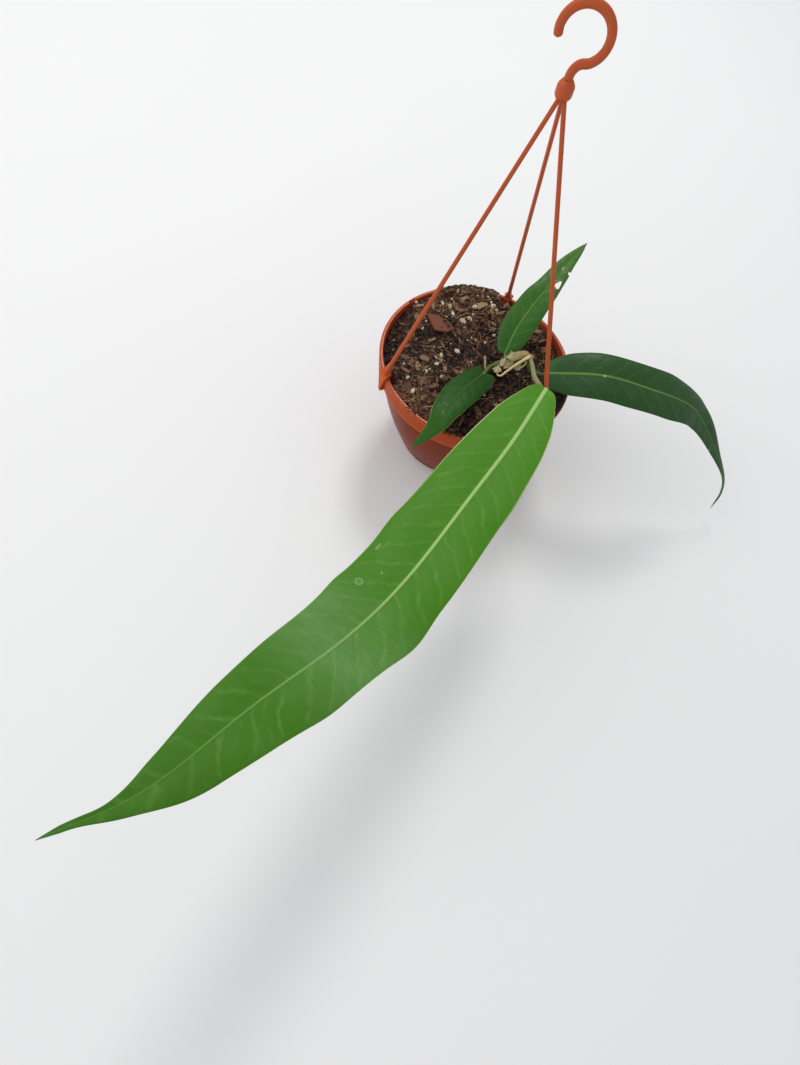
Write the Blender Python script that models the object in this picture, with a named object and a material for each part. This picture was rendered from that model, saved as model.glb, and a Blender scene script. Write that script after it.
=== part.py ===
"""Potted anthurium: four strap leaves on a short stem, in a hanging pot with a clip-on hanger.

Lengths below are millimetres and are turned into metres as each mesh is made. +Z is up, and the
origin is the centre of the pot's flat underside. Four leaves of different lengths grow from one
leaning stem. The longest reaches out over the rim towards -Y.
"""
import math
import random

import bmesh
import bpy
from mathutils import Matrix, Vector, noise

MM = 0.001
GAP = 0.3
SEED = 7

# Pot: a turned plastic shell with a stepped band below its rounded rim
POT_HEIGHT = 98.0
RIM_RADIUS = 75.0
RIM_WALL = 3.0
BAND_HEIGHT = 15.0
BAND_TAPER = 1.0
BAND_STEP = 2.0
WALL = 2.0
WALL_TOP_RADIUS = 71.0
BASE_RADIUS = 47.0
BASE_CORNER = 6.0
WALL_BULGE = 3.0
WALL_RINGS = 4
FLOOR = 2.2
POT_SIDES = 48
DRAIN_HOLES = 6
DRAIN_RADIUS = 4.0
DRAIN_CIRCLE = 27.0

# Soil: loose bark and coir, heaped at the back and low beside the rim
SOIL_LEVEL = -4.0
SOIL_RINGS = 10
SOIL_LUMP = 1.6
SOIL_LUMP_SIZE = 9.0
# Each swell is a place (x, y), a reach and a height above or below the level
SOIL_SWELLS = (
    ((-12.0, 58.0), 30.0, 10.5),
    ((62.0, -22.0), 16.0, 6.5),
    ((12.0, -2.0), 22.0, 3.0),
    ((-66.0, -6.0), 26.0, -6.5),
    ((66.0, 26.0), 20.0, -5.0),
    ((-14.0, -60.0), 26.0, -3.0),
)
BARK_CHIPS = 26
BARK_LENGTH = (6.0, 15.0)
PERLITE_GRAINS = 22
PERLITE_SIZE = (1.5, 2.6)
# Where soil lies over the rim: azimuths from and to, and the most it rises above the rim
SOIL_SPILLS = ((91.0, 132.0, 5.0), (-22.0, 2.0, 3.0))
SPILL_RADII = (64.0, 69.0, 72.5, 74.6)
SPILL_STEPS = 9

# Hanger: three slim arms from rim clips to a hub, with a hook above it
ARM_AZIMUTHS = (-146.0, 83.0, -33.0)
ARM_FOOT_RADIUS = 73.0
ARM_FOOT_SIZE = (1.6, 1.9)
ARM_HUB_SIZE = (1.25, 1.45)
ARM_SIDES = 8
HUB_CENTRE = (-6.0, 9.0, 288.0)
HUB_RADIUS = 4.6
HUB_HEIGHT = 9.0
HOOK_WIRE = 2.3
HOOK_RADIUS = 12.5
HOOK_OPEN_ANGLE = 70.0
HOOK_NECK = 7.0
CLIP_WIDTH = 13.0
CLIP_WALL = 1.7
CLIP_TOOTH_DROP = 8.0
CLIP_TOOTH_WIDTH = 8.0
CLIP_LIP = 2.2

# Stem and crown
STEM_POINTS = ((7, -4, 80), (12, -4, 96), (20, -1.5, 105), (28, 3, 110), (36, 6.5, 112.5))
STEM_RADIUS = (5.0, 3.6)
STEM_SIDES = 12
SHEATH_WALL = 0.8

# Leaves. Points run along the middle of the leaf, and each width is half the blade's own at that
# distance from its base. The up direction is the side that the blade's face looks to.
BLADE_THICKNESS = 0.7
LONG_LEAF = {
    "petiole": ((37, 6, 112), (40.8, -10, 118.5), (44.8, -31.5, 130.5)),
    "midrib": ((49.5, -42.5, 139), (36.8, -91.5, 137.7), (20.5, -142, 140), (-1, -208, 148),
               (-21, -254, 162), (-48.5, -303, 188.5), (-69.6, -345, 214), (-91.3, -368, 231.6)),
    "outline": ((0, 2.5), (3, 7), (8, 10.8), (14, 13.7), (24, 17.8), (36, 21), (57, 24.1),
                (100, 26.4), (180, 27), (233, 24.3), (262, 22.7), (292, 19.2), (321, 13.2),
                (350, 4.6), (381, 0.5)),
    "up": ((0, 0, 1), (0, 0, 1)), "lean": 0.32,
    "lobe": 2.4, "fold": 6.0, "droop": 0.12, "wave": 1.3, "waves": 5.5,
    "ridge": 1.5, "stalk_radius": 2.4, "rows": 44,
}
RIGHT_LEAF = {
    "petiole": ((33, 4, 110), (41, 1, 105.5), (48, -1, 106)),
    "midrib": ((54, -3, 112), (92, 2, 122), (129, 7, 119), (163, 16, 108), (181, 18, 96),
               (202, 15, 78), (228, 11, 52), (240, 8, 31), (243, 3, 11)),
    "outline": ((0, 2.2), (3, 8), (9, 13.5), (18, 16.8), (40, 18.2), (92, 18.2), (115, 15.4),
                (140, 10.8), (160, 7.4), (185, 3.6), (205, 1.9), (225, 1.2), (242, 0.5)),
    "up": ((0, -0.3, 1), (0, -0.3, 1)), "lean": 0.0,
    "lobe": 5.0, "fold": 4.0, "droop": 0.14, "wave": 0.8, "waves": 3.5,
    "ridge": 1.1, "stalk_radius": 1.9, "rows": 34,
}
BACK_LEAF = {
    "petiole": ((23, 0, 107), (20.5, 3, 106.5)),
    "midrib": ((18.6, 5.5, 107), (21, 23, 118), (27, 41, 128), (33, 55, 134), (41, 78, 140),
               (52.5, 105, 144)),
    "outline": ((0, 1.8), (3, 6), (9, 9.6), (18, 11.9), (28, 12.5), (44, 11.4), (62, 9.2),
                (80, 6.9), (98, 4), (108, 1.8), (117, 0.4)),
    "up": ((0, -0.3, 1), (0, -0.3, 1)), "lean": 0.0,
    "lobe": 2.0, "fold": 8.0, "droop": 0.18, "wave": 0.5, "waves": 3.0,
    "ridge": 0.8, "stalk_radius": 1.5, "rows": 24,
}
LOW_LEAF = {
    "petiole": ((16, -3, 102), (12, -10, 105.5)),
    "midrib": ((8, -18, 107), (-2, -41, 111), (-9.5, -62, 112.5), (-13.5, -79, 111),
               (-25, -99.5, 103)),
    "outline": ((0, 1.8), (3, 7), (8, 10), (15, 11.8), (26, 12), (41, 11.2), (55, 9.2),
                (69, 5.8), (82, 2.6), (91, 0.4)),
    "up": ((0, 0, 1), (0, 0, 1)), "lean": 0.0,
    "lobe": 7.0, "fold": 5.0, "droop": 0.20, "wave": 0.5, "waves": 3.0,
    "ridge": 0.8, "stalk_radius": 1.5, "rows": 22,
}
RIDGE_TOP = 0.5
RIDGE_KEEL = 1.1
RIDGE_END = 0.25
LOBE_PLACE = 4.0
BASE_LEAN = 0.2
ROW_CROWDING = 0.12
STALK_RINGS = 9
BLADE_COLUMNS = (0.0, 0.4, 0.75, 1.0)
# The bite through the back leaf and the notch in its edge: distance, offset and radii
LEAF_HOLE = (66.0, 5.0, 3.6, 1.9)
LEAF_NOTCH = (80.0, 8.2, 2.2, 2.6)

COLOURS = {
    "pot": ((0.36, 0.085, 0.03), 0.34),
    "hanger": ((0.38, 0.10, 0.035), 0.32),
    "soil": ((0.045, 0.022, 0.013), 0.95),
    "stem": ((0.20, 0.22, 0.08), 0.60),
    "dry_sheaths": ((0.44, 0.36, 0.20), 0.75),
    "leaf_long": ((0.085, 0.25, 0.03), 0.38),
    "leaf_right": ((0.028, 0.085, 0.024), 0.32),
    "leaf_back": ((0.035, 0.12, 0.028), 0.36),
    "leaf_low": ((0.026, 0.095, 0.02), 0.34),
}


def clear_scene():
    for thing in list(bpy.data.objects):
        bpy.data.objects.remove(thing, do_unlink=True)


def material_for(name):
    colour, roughness = COLOURS[name]
    material = bpy.data.materials.new(name)
    material.use_nodes = True
    shader = material.node_tree.nodes["Principled BSDF"]
    shader.inputs["Base Color"].default_value = (*colour, 1.0)
    shader.inputs["Roughness"].default_value = roughness
    shader.inputs["Metallic"].default_value = 0.0
    return material


def new_object(name, points, faces):
    """A mesh object from points in millimetres, with its faces turned outwards."""
    mesh = bpy.data.meshes.new(name)
    mesh.from_pydata([Vector(point) * MM for point in points], [], faces)
    work = bmesh.new()
    work.from_mesh(mesh)
    bmesh.ops.recalc_face_normals(work, faces=work.faces)
    work.to_mesh(mesh)
    work.free()
    thing = bpy.data.objects.new(name, mesh)
    bpy.context.scene.collection.objects.link(thing)
    return thing


def finish(thing, name, sharp_angle=35.0):
    """Names a finished piece, gives it its material and shades its round faces smooth."""
    thing.name = name
    thing.data.name = name
    thing.data.materials.clear()
    thing.data.materials.append(material_for(name))
    thing.data.shade_smooth()
    thing.data.set_sharp_from_angle(angle=math.radians(sharp_angle))


def apply_modifiers(thing):
    depsgraph = bpy.context.evaluated_depsgraph_get()
    mesh = bpy.data.meshes.new_from_object(thing.evaluated_get(depsgraph))
    thing.modifiers.clear()
    thing.data = mesh


def combine(thing, others, operation):
    """One Boolean of the thing with all the others, which are then removed."""
    group = bpy.data.collections.new("others")
    bpy.context.scene.collection.children.link(group)
    for other in others:
        group.objects.link(other)
        other.hide_render = True
        other.display_type = "WIRE"
    boolean = thing.modifiers.new("combine", "BOOLEAN")
    boolean.operation = operation
    boolean.solver = "EXACT"
    boolean.operand_type = "COLLECTION"
    boolean.collection = group
    apply_modifiers(thing)
    for other in others:
        bpy.data.objects.remove(other, do_unlink=True)
    bpy.data.collections.remove(group)
    return thing


def smooth_path(points, steps_each):
    """A smooth curve through the points, as a list of vectors."""
    knots = [Vector(point) for point in points]
    knots = [knots[0] * 2 - knots[1]] + knots + [knots[-1] * 2 - knots[-2]]
    path = []
    for before, start, end, after in zip(knots, knots[1:], knots[2:], knots[3:]):
        for step in range(steps_each):
            t = step / steps_each
            path.append(0.5 * (2 * start + (end - before) * t
                               + (2 * before - 5 * start + 4 * end - after) * t ** 2
                               + (3 * start - before - 3 * end + after) * t ** 3))
    path.append(knots[-2])
    return path


class Route:
    """A smooth curve that is read by its distance from the start."""

    def __init__(self, points):
        self.path = smooth_path(points, 24)
        self.marks = [0.0]
        for start, end in zip(self.path, self.path[1:]):
            self.marks.append(self.marks[-1] + (end - start).length)
        self.length = self.marks[-1]

    def at(self, distance):
        """The point at a distance, on the straight line of its end where it is past one."""
        last = len(self.marks) - 2
        index = 0
        while index < last and self.marks[index + 1] < distance:
            index += 1
        span = self.marks[index + 1] - self.marks[index]
        share = (distance - self.marks[index]) / span
        return self.path[index].lerp(self.path[index + 1], share)

    def heading(self, distance):
        step = self.length / 100
        return (self.at(distance + step) - self.at(distance - step)).normalized()


def smooth_value(pairs, x):
    """A value read from (x, value) pairs, joined by a curve with no overshoot."""
    if x <= pairs[0][0]:
        return pairs[0][1]
    if x >= pairs[-1][0]:
        return pairs[-1][1]
    slopes = [(b[1] - a[1]) / (b[0] - a[0]) for a, b in zip(pairs, pairs[1:])]
    bends = [slopes[0]]
    for left, right in zip(slopes, slopes[1:]):
        bends.append(2 * left * right / (left + right) if left * right > 0 else 0.0)
    bends.append(slopes[-1])
    index = max(i for i in range(len(slopes)) if pairs[i][0] <= x)
    (x0, y0), (x1, y1) = pairs[index], pairs[index + 1]
    width = x1 - x0
    t = (x - x0) / width
    return ((1 + 2 * t) * (1 - t) ** 2 * y0 + t * (1 - t) ** 2 * width * bends[index]
            + t * t * (3 - 2 * t) * y1 - t * t * (1 - t) * width * bends[index + 1])


def turned(profile, sides):
    """Points and faces of a body turned about Z; the profile starts and ends on the axis."""
    points = [(0.0, 0.0, profile[0][1]), (0.0, 0.0, profile[-1][1])]
    rings = profile[1:-1]
    for radius, height in rings:
        for side in range(sides):
            angle = 2 * math.pi * side / sides
            points.append((radius * math.cos(angle), radius * math.sin(angle), height))
    faces = []
    for side in range(sides):
        after = (side + 1) % sides
        faces.append((0, 2 + after, 2 + side))
        for ring in range(len(rings) - 1):
            low = 2 + ring * sides
            faces.append((low + side, low + after, low + sides + after, low + sides + side))
        last = 2 + (len(rings) - 1) * sides
        faces.append((1, last + side, last + after))
    return points, faces


def tube(name, route, start, end, radii, rows, sides, over=(0.3, -0.2, 1.0)):
    """A closed tube along part of a route, from one radius or (across, over) pair to another."""
    points = []
    first, last = (size if isinstance(size, tuple) else (size, size) for size in radii)
    reference = Vector(over)
    for row in range(rows + 1):
        share = row / rows
        distance = start + (end - start) * share
        centre = route.at(distance)
        heading = route.heading(distance)
        across = heading.cross(reference).normalized() * (first[0] + (last[0] - first[0]) * share)
        rise = across.cross(heading).normalized() * (first[1] + (last[1] - first[1]) * share)
        for side in range(sides):
            angle = 2 * math.pi * side / sides
            points.append(centre + across * math.cos(angle) + rise * math.sin(angle))
    faces = []
    for row in range(rows):
        for side in range(sides):
            after = (side + 1) % sides
            low = row * sides
            faces.append((low + side, low + after, low + sides + after, low + sides + side))
    faces.append(tuple(range(sides)))
    faces.append(tuple(rows * sides + side for side in range(sides)))
    return new_object(name, points, faces)


def box(name, low, high, turn=None):
    """A box between two corners, turned about Z when an azimuth is given."""
    points = [(x, y, z) for x in (low[0], high[0]) for y in (low[1], high[1])
              for z in (low[2], high[2])]
    if turn is not None:
        rotation = Matrix.Rotation(math.radians(turn), 3, "Z")
        points = [rotation @ Vector(point) for point in points]
    faces = [(0, 1, 3, 2), (4, 6, 7, 5), (0, 4, 5, 1), (2, 3, 7, 6), (0, 2, 6, 4), (1, 5, 7, 3)]
    return new_object(name, points, faces)


def wall_radius(height):
    """The pot wall's outer radius, from its base corner up to the band."""
    low = BASE_CORNER
    high = POT_HEIGHT - BAND_HEIGHT
    share = (height - low) / (high - low)
    straight = BASE_RADIUS + (WALL_TOP_RADIUS - BASE_RADIUS) * share
    return straight + WALL_BULGE * 4 * share * (1 - share)


def wall_heights():
    low = BASE_CORNER
    high = POT_HEIGHT - BAND_HEIGHT
    return [low + (high - low) * ring / WALL_RINGS for ring in range(WALL_RINGS + 1)]


def pot_profile():
    """The shell's outline: underside, outer wall, band, rounded rim, inner wall, floor."""
    profile = [(0.0, 0.0), (BASE_RADIUS - BASE_CORNER, 0.0)]
    for angle in (-60.0, -30.0):
        turn = math.radians(angle)
        profile.append((BASE_RADIUS - BASE_CORNER * (1 - math.cos(turn)),
                        BASE_CORNER * (1 + math.sin(turn))))
    profile += [(wall_radius(height), height) for height in wall_heights()]
    band_foot = POT_HEIGHT - BAND_HEIGHT
    rim_middle = RIM_RADIUS - RIM_WALL / 2
    profile.append((RIM_RADIUS - BAND_TAPER, band_foot))
    profile.append((RIM_RADIUS, POT_HEIGHT - RIM_WALL / 2))
    for angle in (35.0, 90.0, 145.0):
        turn = math.radians(angle)
        profile.append((rim_middle + RIM_WALL / 2 * math.cos(turn),
                        POT_HEIGHT - RIM_WALL / 2 * (1 - math.sin(turn))))
    profile.append((RIM_RADIUS - RIM_WALL, POT_HEIGHT - RIM_WALL / 2))
    profile += inner_profile(0.0)
    return profile


def inner_profile(clearance):
    """The pot's inside from below the rim down to the floor, drawn in and up by a clearance."""
    points = [(RIM_RADIUS - RIM_WALL, POT_HEIGHT - BAND_HEIGHT + BAND_STEP)]
    for height in reversed(wall_heights()[1:]):
        points.append((wall_radius(height) - WALL, height))
    points.append((BASE_RADIUS - WALL, FLOOR + BASE_CORNER / 2))
    points.append((BASE_RADIUS - BASE_CORNER, FLOOR))
    drawn = [(radius - clearance, height + clearance) for radius, height in points]
    return drawn + [(0.0, FLOOR + clearance)]


def make_pot():
    pot = new_object("pot", *turned(pot_profile(), POT_SIDES))
    holes = []
    for index in range(DRAIN_HOLES):
        angle = 2 * math.pi * index / DRAIN_HOLES
        points, faces = turned([(0, -2), (DRAIN_RADIUS, -2), (DRAIN_RADIUS, FLOOR + 2),
                                (0, FLOOR + 2)], 12)
        place = Vector((DRAIN_CIRCLE * math.cos(angle), DRAIN_CIRCLE * math.sin(angle), 0))
        holes.append(new_object("hole", [Vector(point) + place for point in points], faces))
    combine(pot, holes, "DIFFERENCE")
    finish(pot, "pot")


def soil_height(x, y):
    """The soil's surface above or below the top of the rim."""
    height = SOIL_LEVEL
    for (swell_x, swell_y), reach, rise in SOIL_SWELLS:
        distance = math.hypot(x - swell_x, y - swell_y)
        height += rise * math.exp(-(distance / reach) ** 2)
    lumps = noise.noise(Vector((x, y, 0)) / SOIL_LUMP_SIZE)
    crumbs = noise.noise(Vector((x + 50, y, 9)) / (SOIL_LUMP_SIZE / 3))
    return height + SOIL_LUMP * (lumps + 0.5 * crumbs)


def soil_profile():
    """Up the middle of the pot's inside, then across the top in rings to the axis."""
    side = list(reversed(inner_profile(GAP)))
    edge = RIM_RADIUS - RIM_WALL - GAP
    rings = [(edge * (1 - ring / SOIL_RINGS), POT_HEIGHT) for ring in range(SOIL_RINGS)]
    return side + rings + [(0.0, POT_HEIGHT)]


def chip(size, place, turn, tilt):
    """A bark chip: a wedge-ended flat block, half sunk in the soil."""
    length, width, depth = size
    outline = ((-0.5, -0.35), (-0.2, -0.5), (0.45, -0.4), (0.5, 0.2), (0.1, 0.5), (-0.45, 0.3))
    rotation = Matrix.Rotation(turn, 3, "Z") @ Matrix.Rotation(tilt, 3, "X")
    points = []
    for level in (-1.0, 1.0):
        for along, across in outline:
            local = Vector((along * length, across * width, level * depth / 2))
            points.append(rotation @ local + place)
    sides = len(outline)
    faces = [tuple(range(sides)), tuple(range(sides, 2 * sides))]
    for side in range(sides):
        after = (side + 1) % sides
        faces.append((side, after, sides + after, sides + side))
    return new_object("chip", points, faces)


def grain(size, place, turn):
    """A perlite grain: an eight-faced crumb, sunk to its middle."""
    points = [place + Vector((size * math.cos(turn + quarter), size * math.sin(turn + quarter), 0))
              for quarter in (0, math.pi / 2, math.pi, -math.pi / 2)]
    points += [place + Vector((0, 0, size)), place - Vector((0, 0, size))]
    faces = []
    for side in range(4):
        after = (side + 1) % 4
        faces.append((side, after, 4))
        faces.append((after, side, 5))
    return new_object("grain", points, faces)


def scattered(draw, count, reach, apart):
    """Places on the soil that keep apart from each other and from the stem."""
    stem_x, stem_y, _ = STEM_POINTS[1]
    places = []
    while len(places) < count:
        angle = draw.uniform(0, 2 * math.pi)
        radius = reach * math.sqrt(draw.random())
        x, y = radius * math.cos(angle), radius * math.sin(angle)
        if math.hypot(x - stem_x, y - stem_y) < 12:
            continue
        if all(math.hypot(x - other[0], y - other[1]) > apart for other in places):
            places.append((x, y))
    return places


def soil_bits():
    draw = random.Random(SEED)
    bits = []
    for x, y in scattered(draw, BARK_CHIPS, 60.0, 9.0):
        length = draw.uniform(*BARK_LENGTH)
        place = Vector((x, y, POT_HEIGHT + soil_height(x, y)))
        bits.append(chip((length, length * draw.uniform(0.35, 0.7), 2.4), place,
                         draw.uniform(0, math.pi), draw.uniform(-0.35, 0.35)))
    for x, y in scattered(draw, PERLITE_GRAINS, 66.0, 7.0):
        size = draw.uniform(*PERLITE_SIZE)
        place = Vector((x, y, POT_HEIGHT + soil_height(x, y) + 0.3))
        bits.append(grain(size, place, draw.uniform(0, math.pi)))
    return bits


def soil_spill(start, end, rise):
    """Soil lying over a stretch of the rim: a lumpy pad, thin at its ends and its outer edge."""
    draw = random.Random(round(start))
    width = len(SPILL_RADII)
    points = []
    for top in (False, True):
        for step in range(SPILL_STEPS + 1):
            share = step / SPILL_STEPS
            turn = math.radians(start + (end - start) * share)
            for column, radius in enumerate(SPILL_RADII):
                height = POT_HEIGHT + GAP
                if top:
                    edge = 1 - 0.6 * (column / (width - 1)) ** 3
                    height += 0.7 + rise * math.sin(math.pi * share) ** 0.6 * edge
                    height += draw.uniform(-0.5, 0.5)
                points.append((radius * math.cos(turn), radius * math.sin(turn), height))
    layer = (SPILL_STEPS + 1) * width

    def corner(step, column, top):
        return top * layer + step * width + column

    faces = []
    for step in range(SPILL_STEPS):
        for column in range(width - 1):
            for top in (0, 1):
                a, b = corner(step, column, top), corner(step, column + 1, top)
                c, d = corner(step + 1, column + 1, top), corner(step + 1, column, top)
                faces += [(a, b, c), (a, c, d)]
        for column in (0, width - 1):
            faces.append((corner(step, column, 0), corner(step + 1, column, 0),
                          corner(step + 1, column, 1), corner(step, column, 1)))
    for step in (0, SPILL_STEPS):
        for column in range(width - 1):
            faces.append((corner(step, column, 0), corner(step, column + 1, 0),
                          corner(step, column + 1, 1), corner(step, column, 1)))
    return new_object("spill", points, faces)


def clip_clearance(azimuth):
    """The space that one rim clip needs in the soil."""
    inner = RIM_RADIUS - RIM_WALL - GAP - CLIP_WALL - 2 * GAP
    half = CLIP_WIDTH / 2 + GAP
    return box("clearance", (inner, -half, POT_HEIGHT - CLIP_TOOTH_DROP - 1.0),
               (RIM_RADIUS, half, POT_HEIGHT + 20.0), azimuth)


def make_soil():
    points, faces = turned(soil_profile(), POT_SIDES)
    surface = []
    for index, (x, y, z) in enumerate(points):
        on_top = z == POT_HEIGHT
        surface.append((x, y, z + soil_height(x, y)) if on_top else (x, y, z))
    soil = new_object("soil", surface, faces)
    spills = [soil_spill(*spill) for spill in SOIL_SPILLS]
    combine(soil, soil_bits() + spills, "UNION")
    cutters = [clip_clearance(azimuth) for azimuth in ARM_AZIMUTHS]
    route = Route(STEM_POINTS)
    cutters.append(tube("cutter", route, -GAP, route.length * 0.8,
                        (STEM_RADIUS[0] + GAP, STEM_RADIUS[0] + GAP), 8, STEM_SIDES))
    combine(soil, cutters, "DIFFERENCE")
    finish(soil, "soil", 60.0)


def arm_foot(azimuth):
    turn = math.radians(azimuth)
    return Vector((ARM_FOOT_RADIUS * math.cos(turn), ARM_FOOT_RADIUS * math.sin(turn),
                   POT_HEIGHT + GAP + CLIP_WALL))


def make_arm(azimuth):
    """One straight arm from its clip into the hub, thicker outwards than across."""
    foot = arm_foot(azimuth)
    hub = Vector(HUB_CENTRE)
    outward = (math.cos(math.radians(azimuth)), math.sin(math.radians(azimuth)), 0.0)
    route = Route((foot - (hub - foot).normalized() * 0.8, hub))
    return tube("arm", route, 0.0, route.length, (ARM_FOOT_SIZE, ARM_HUB_SIZE), 1, ARM_SIDES,
                outward)


def clip_parts(azimuth):
    """A rim clip: a saddle with an outer flange and lip, an inner tooth and a foot web."""
    top = POT_HEIGHT + GAP
    outer = RIM_RADIUS + GAP
    inner = RIM_RADIUS - RIM_WALL - GAP - 0.2
    half = CLIP_WIDTH / 2
    tooth = CLIP_TOOTH_WIDTH / 2
    band_foot = POT_HEIGHT - BAND_HEIGHT
    parts = [
        box("saddle", (inner - CLIP_WALL, -half, top),
            (outer + CLIP_WALL, half, top + CLIP_WALL), azimuth),
        box("flange", (outer, -half, band_foot - GAP - CLIP_WALL),
            (outer + CLIP_WALL, half, top + CLIP_WALL * 0.9), azimuth),
        box("lip", (outer - CLIP_LIP, -half * 0.6, band_foot - GAP - CLIP_WALL),
            (outer + CLIP_WALL * 0.9, half * 0.6, band_foot - GAP), azimuth),
        box("tooth", (inner - CLIP_WALL, -tooth, POT_HEIGHT - CLIP_TOOTH_DROP),
            (inner, tooth, top + CLIP_WALL * 0.9), azimuth),
    ]
    return parts + [foot_web(azimuth)]


def foot_web(azimuth):
    """The web that spreads the arm's foot over its clip."""
    foot = arm_foot(azimuth)
    rise = (Vector(HUB_CENTRE) - foot).normalized()
    turn = math.radians(azimuth)
    across = Vector((-math.sin(turn), math.cos(turn), 0))
    radial = Vector((math.cos(turn), math.sin(turn), 0))
    points = []
    for height, wide, deep in ((-1.0, 4.6, 2.6), (9.0, 1.3, 1.6)):
        centre = foot + rise * height
        for side, out in ((-1, -1), (1, -1), (1, 1), (-1, 1)):
            points.append(centre + across * side * wide + radial * out * deep)
    faces = [(0, 1, 2, 3), (4, 5, 6, 7), (0, 1, 5, 4), (1, 2, 6, 5), (2, 3, 7, 6), (3, 0, 4, 7)]
    return new_object("web", points, faces)


def hook_route():
    """Up from the hub, then round an open loop in the XZ plane."""
    x, y, z = HUB_CENTRE
    centre_z = z + HUB_HEIGHT / 2 + HOOK_NECK + HOOK_RADIUS
    points = [(x, y, z), (x, y, z + HUB_HEIGHT / 2 + HOOK_NECK * 0.4)]
    start = -90.0 + 12.0
    sweep = 360.0 - HOOK_OPEN_ANGLE - 12.0
    for step in range(13):
        turn = math.radians(start + sweep * step / 12)
        points.append((x + HOOK_RADIUS * math.cos(turn), y, centre_z + HOOK_RADIUS * math.sin(turn)))
    return Route(points)


def make_hub():
    x, y, z = HUB_CENTRE
    half = HUB_HEIGHT / 2
    profile = [(0, -half), (HUB_RADIUS * 0.7, -half), (HUB_RADIUS, -half * 0.6),
               (HUB_RADIUS, half * 0.5), (HOOK_WIRE * 1.2, half), (0, half)]
    points, faces = turned(profile, 16)
    return new_object("hub", [Vector(point) + Vector((x, y, z)) for point in points], faces)


def make_hanger():
    hanger = make_hub()
    route = hook_route()
    parts = [tube("hook", route, 0.0, route.length, (HOOK_WIRE, HOOK_WIRE * 0.8), 26, 10, (0, 1, 0))]
    for azimuth in ARM_AZIMUTHS:
        parts.append(make_arm(azimuth))
        parts += clip_parts(azimuth)
    combine(hanger, parts, "UNION")
    finish(hanger, "hanger")


class Blade:
    """The frame of one leaf: its middle line, its sideways and upward directions, its widths."""

    def __init__(self, leaf):
        self.leaf = leaf
        self.route = Route(leaf["midrib"])

    def frame(self, distance):
        heading = self.route.heading(distance)
        share = min(max(distance / self.route.length, 0), 1)
        up = Vector(self.leaf["up"][0]).lerp(Vector(self.leaf["up"][1]), share)
        side = heading.cross(up).normalized()
        return side, side.cross(heading).normalized()

    def half_width(self, distance):
        return smooth_value(self.leaf["outline"], distance)

    def leaning(self, distance, offset):
        """How much wider than the outline one side is: the tip leans one way, the base the other."""
        share = min(max(distance / self.route.length, 0), 1)
        return 1 - math.copysign(self.leaf["lean"], offset) * (share ** 4 - BASE_LEAN)

    def ridge(self, distance):
        share = distance / self.route.length
        return self.leaf["ridge"] * (1 - share) + RIDGE_END * share

    def setback(self, distance, offset):
        """How far a point near the base lies behind its row, where the base is lobed."""
        ridge = self.ridge(distance)
        reach = max(abs(offset) - ridge, 0) / max(self.half_width(distance) - ridge, ridge)
        shape = distance / LOBE_PLACE * math.exp(1 - distance / LOBE_PLACE)
        return self.leaf["lobe"] * shape * min(reach, 1)

    def rise(self, distance, offset):
        """The blade's height off its flat: folded up, drooping to the edge, and waved there."""
        across = abs(offset) / self.half_width(distance)
        share = distance / self.route.length
        turns = 2 * math.pi * self.leaf["waves"] * share + (0.9 if offset > 0 else 0)
        wave = self.leaf["wave"] * math.sin(turns) * math.sin(math.pi * share)
        fold = math.tan(math.radians(self.leaf["fold"]))
        return abs(offset) * (fold - self.leaf["droop"] * across ** 2) + wave * across ** 2

    def point(self, distance, offset, lift):
        """A point of the blade, from its place along and across the leaf and its lift off it."""
        along = distance - self.setback(distance, offset)
        side, normal = self.frame(along)
        return (self.route.at(along) + side * offset
                + normal * (self.rise(distance, offset) + lift))


def blade_offsets(blade, distance):
    """Signed distances across one row of the blade, with the midrib's edges among them."""
    ridge = blade.ridge(distance)
    half = max(blade.half_width(distance), ridge * 1.25)
    right = [ridge + (half * blade.leaning(distance, 1) - ridge) * share
             for share in BLADE_COLUMNS]
    left = [ridge + (half * blade.leaning(distance, -1) - ridge) * share
            for share in BLADE_COLUMNS]
    return [-offset for offset in reversed(left)] + [0.0] + right


def blade_rows(blade, rows):
    """Distances of the rows, crowded towards the base and the tip."""
    length = blade.route.length
    return [length * (row / rows - ROW_CROWDING * math.sin(2 * math.pi * row / rows))
            for row in range(rows + 1)]


def stalk_rings(blade, leaf, ring_count):
    """Six-sided rings from the blade's base back along the petiole."""
    base = blade.route.at(0)
    stalk = Route(tuple(leaf["petiole"]) + (base,))
    side, normal = blade.frame(0)
    rings = []
    for ring in range(1, ring_count + 1):
        share = ring / ring_count
        distance = stalk.length * (1 - share)
        heading = stalk.heading(distance)
        across = (side - heading * side.dot(heading)).normalized()
        over = across.cross(heading).normalized()
        if over.dot(normal) < 0:
            over = -over
        blend = min(share * 4, 1)
        radius = leaf["stalk_radius"]
        wide = leaf["ridge"] * 1.2 * (1 - blend) + radius * 0.87 * blend
        flat = RIDGE_KEEL * (1 - blend) + radius * blend
        centre = stalk.at(distance)
        rings.append([centre + across * a * wide + over * b * flat for a, b in
                      ((-1, 0.5), (0, 1), (1, 0.5), (1, -0.5), (0, -1), (-1, -0.5))])
    return rings


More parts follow.
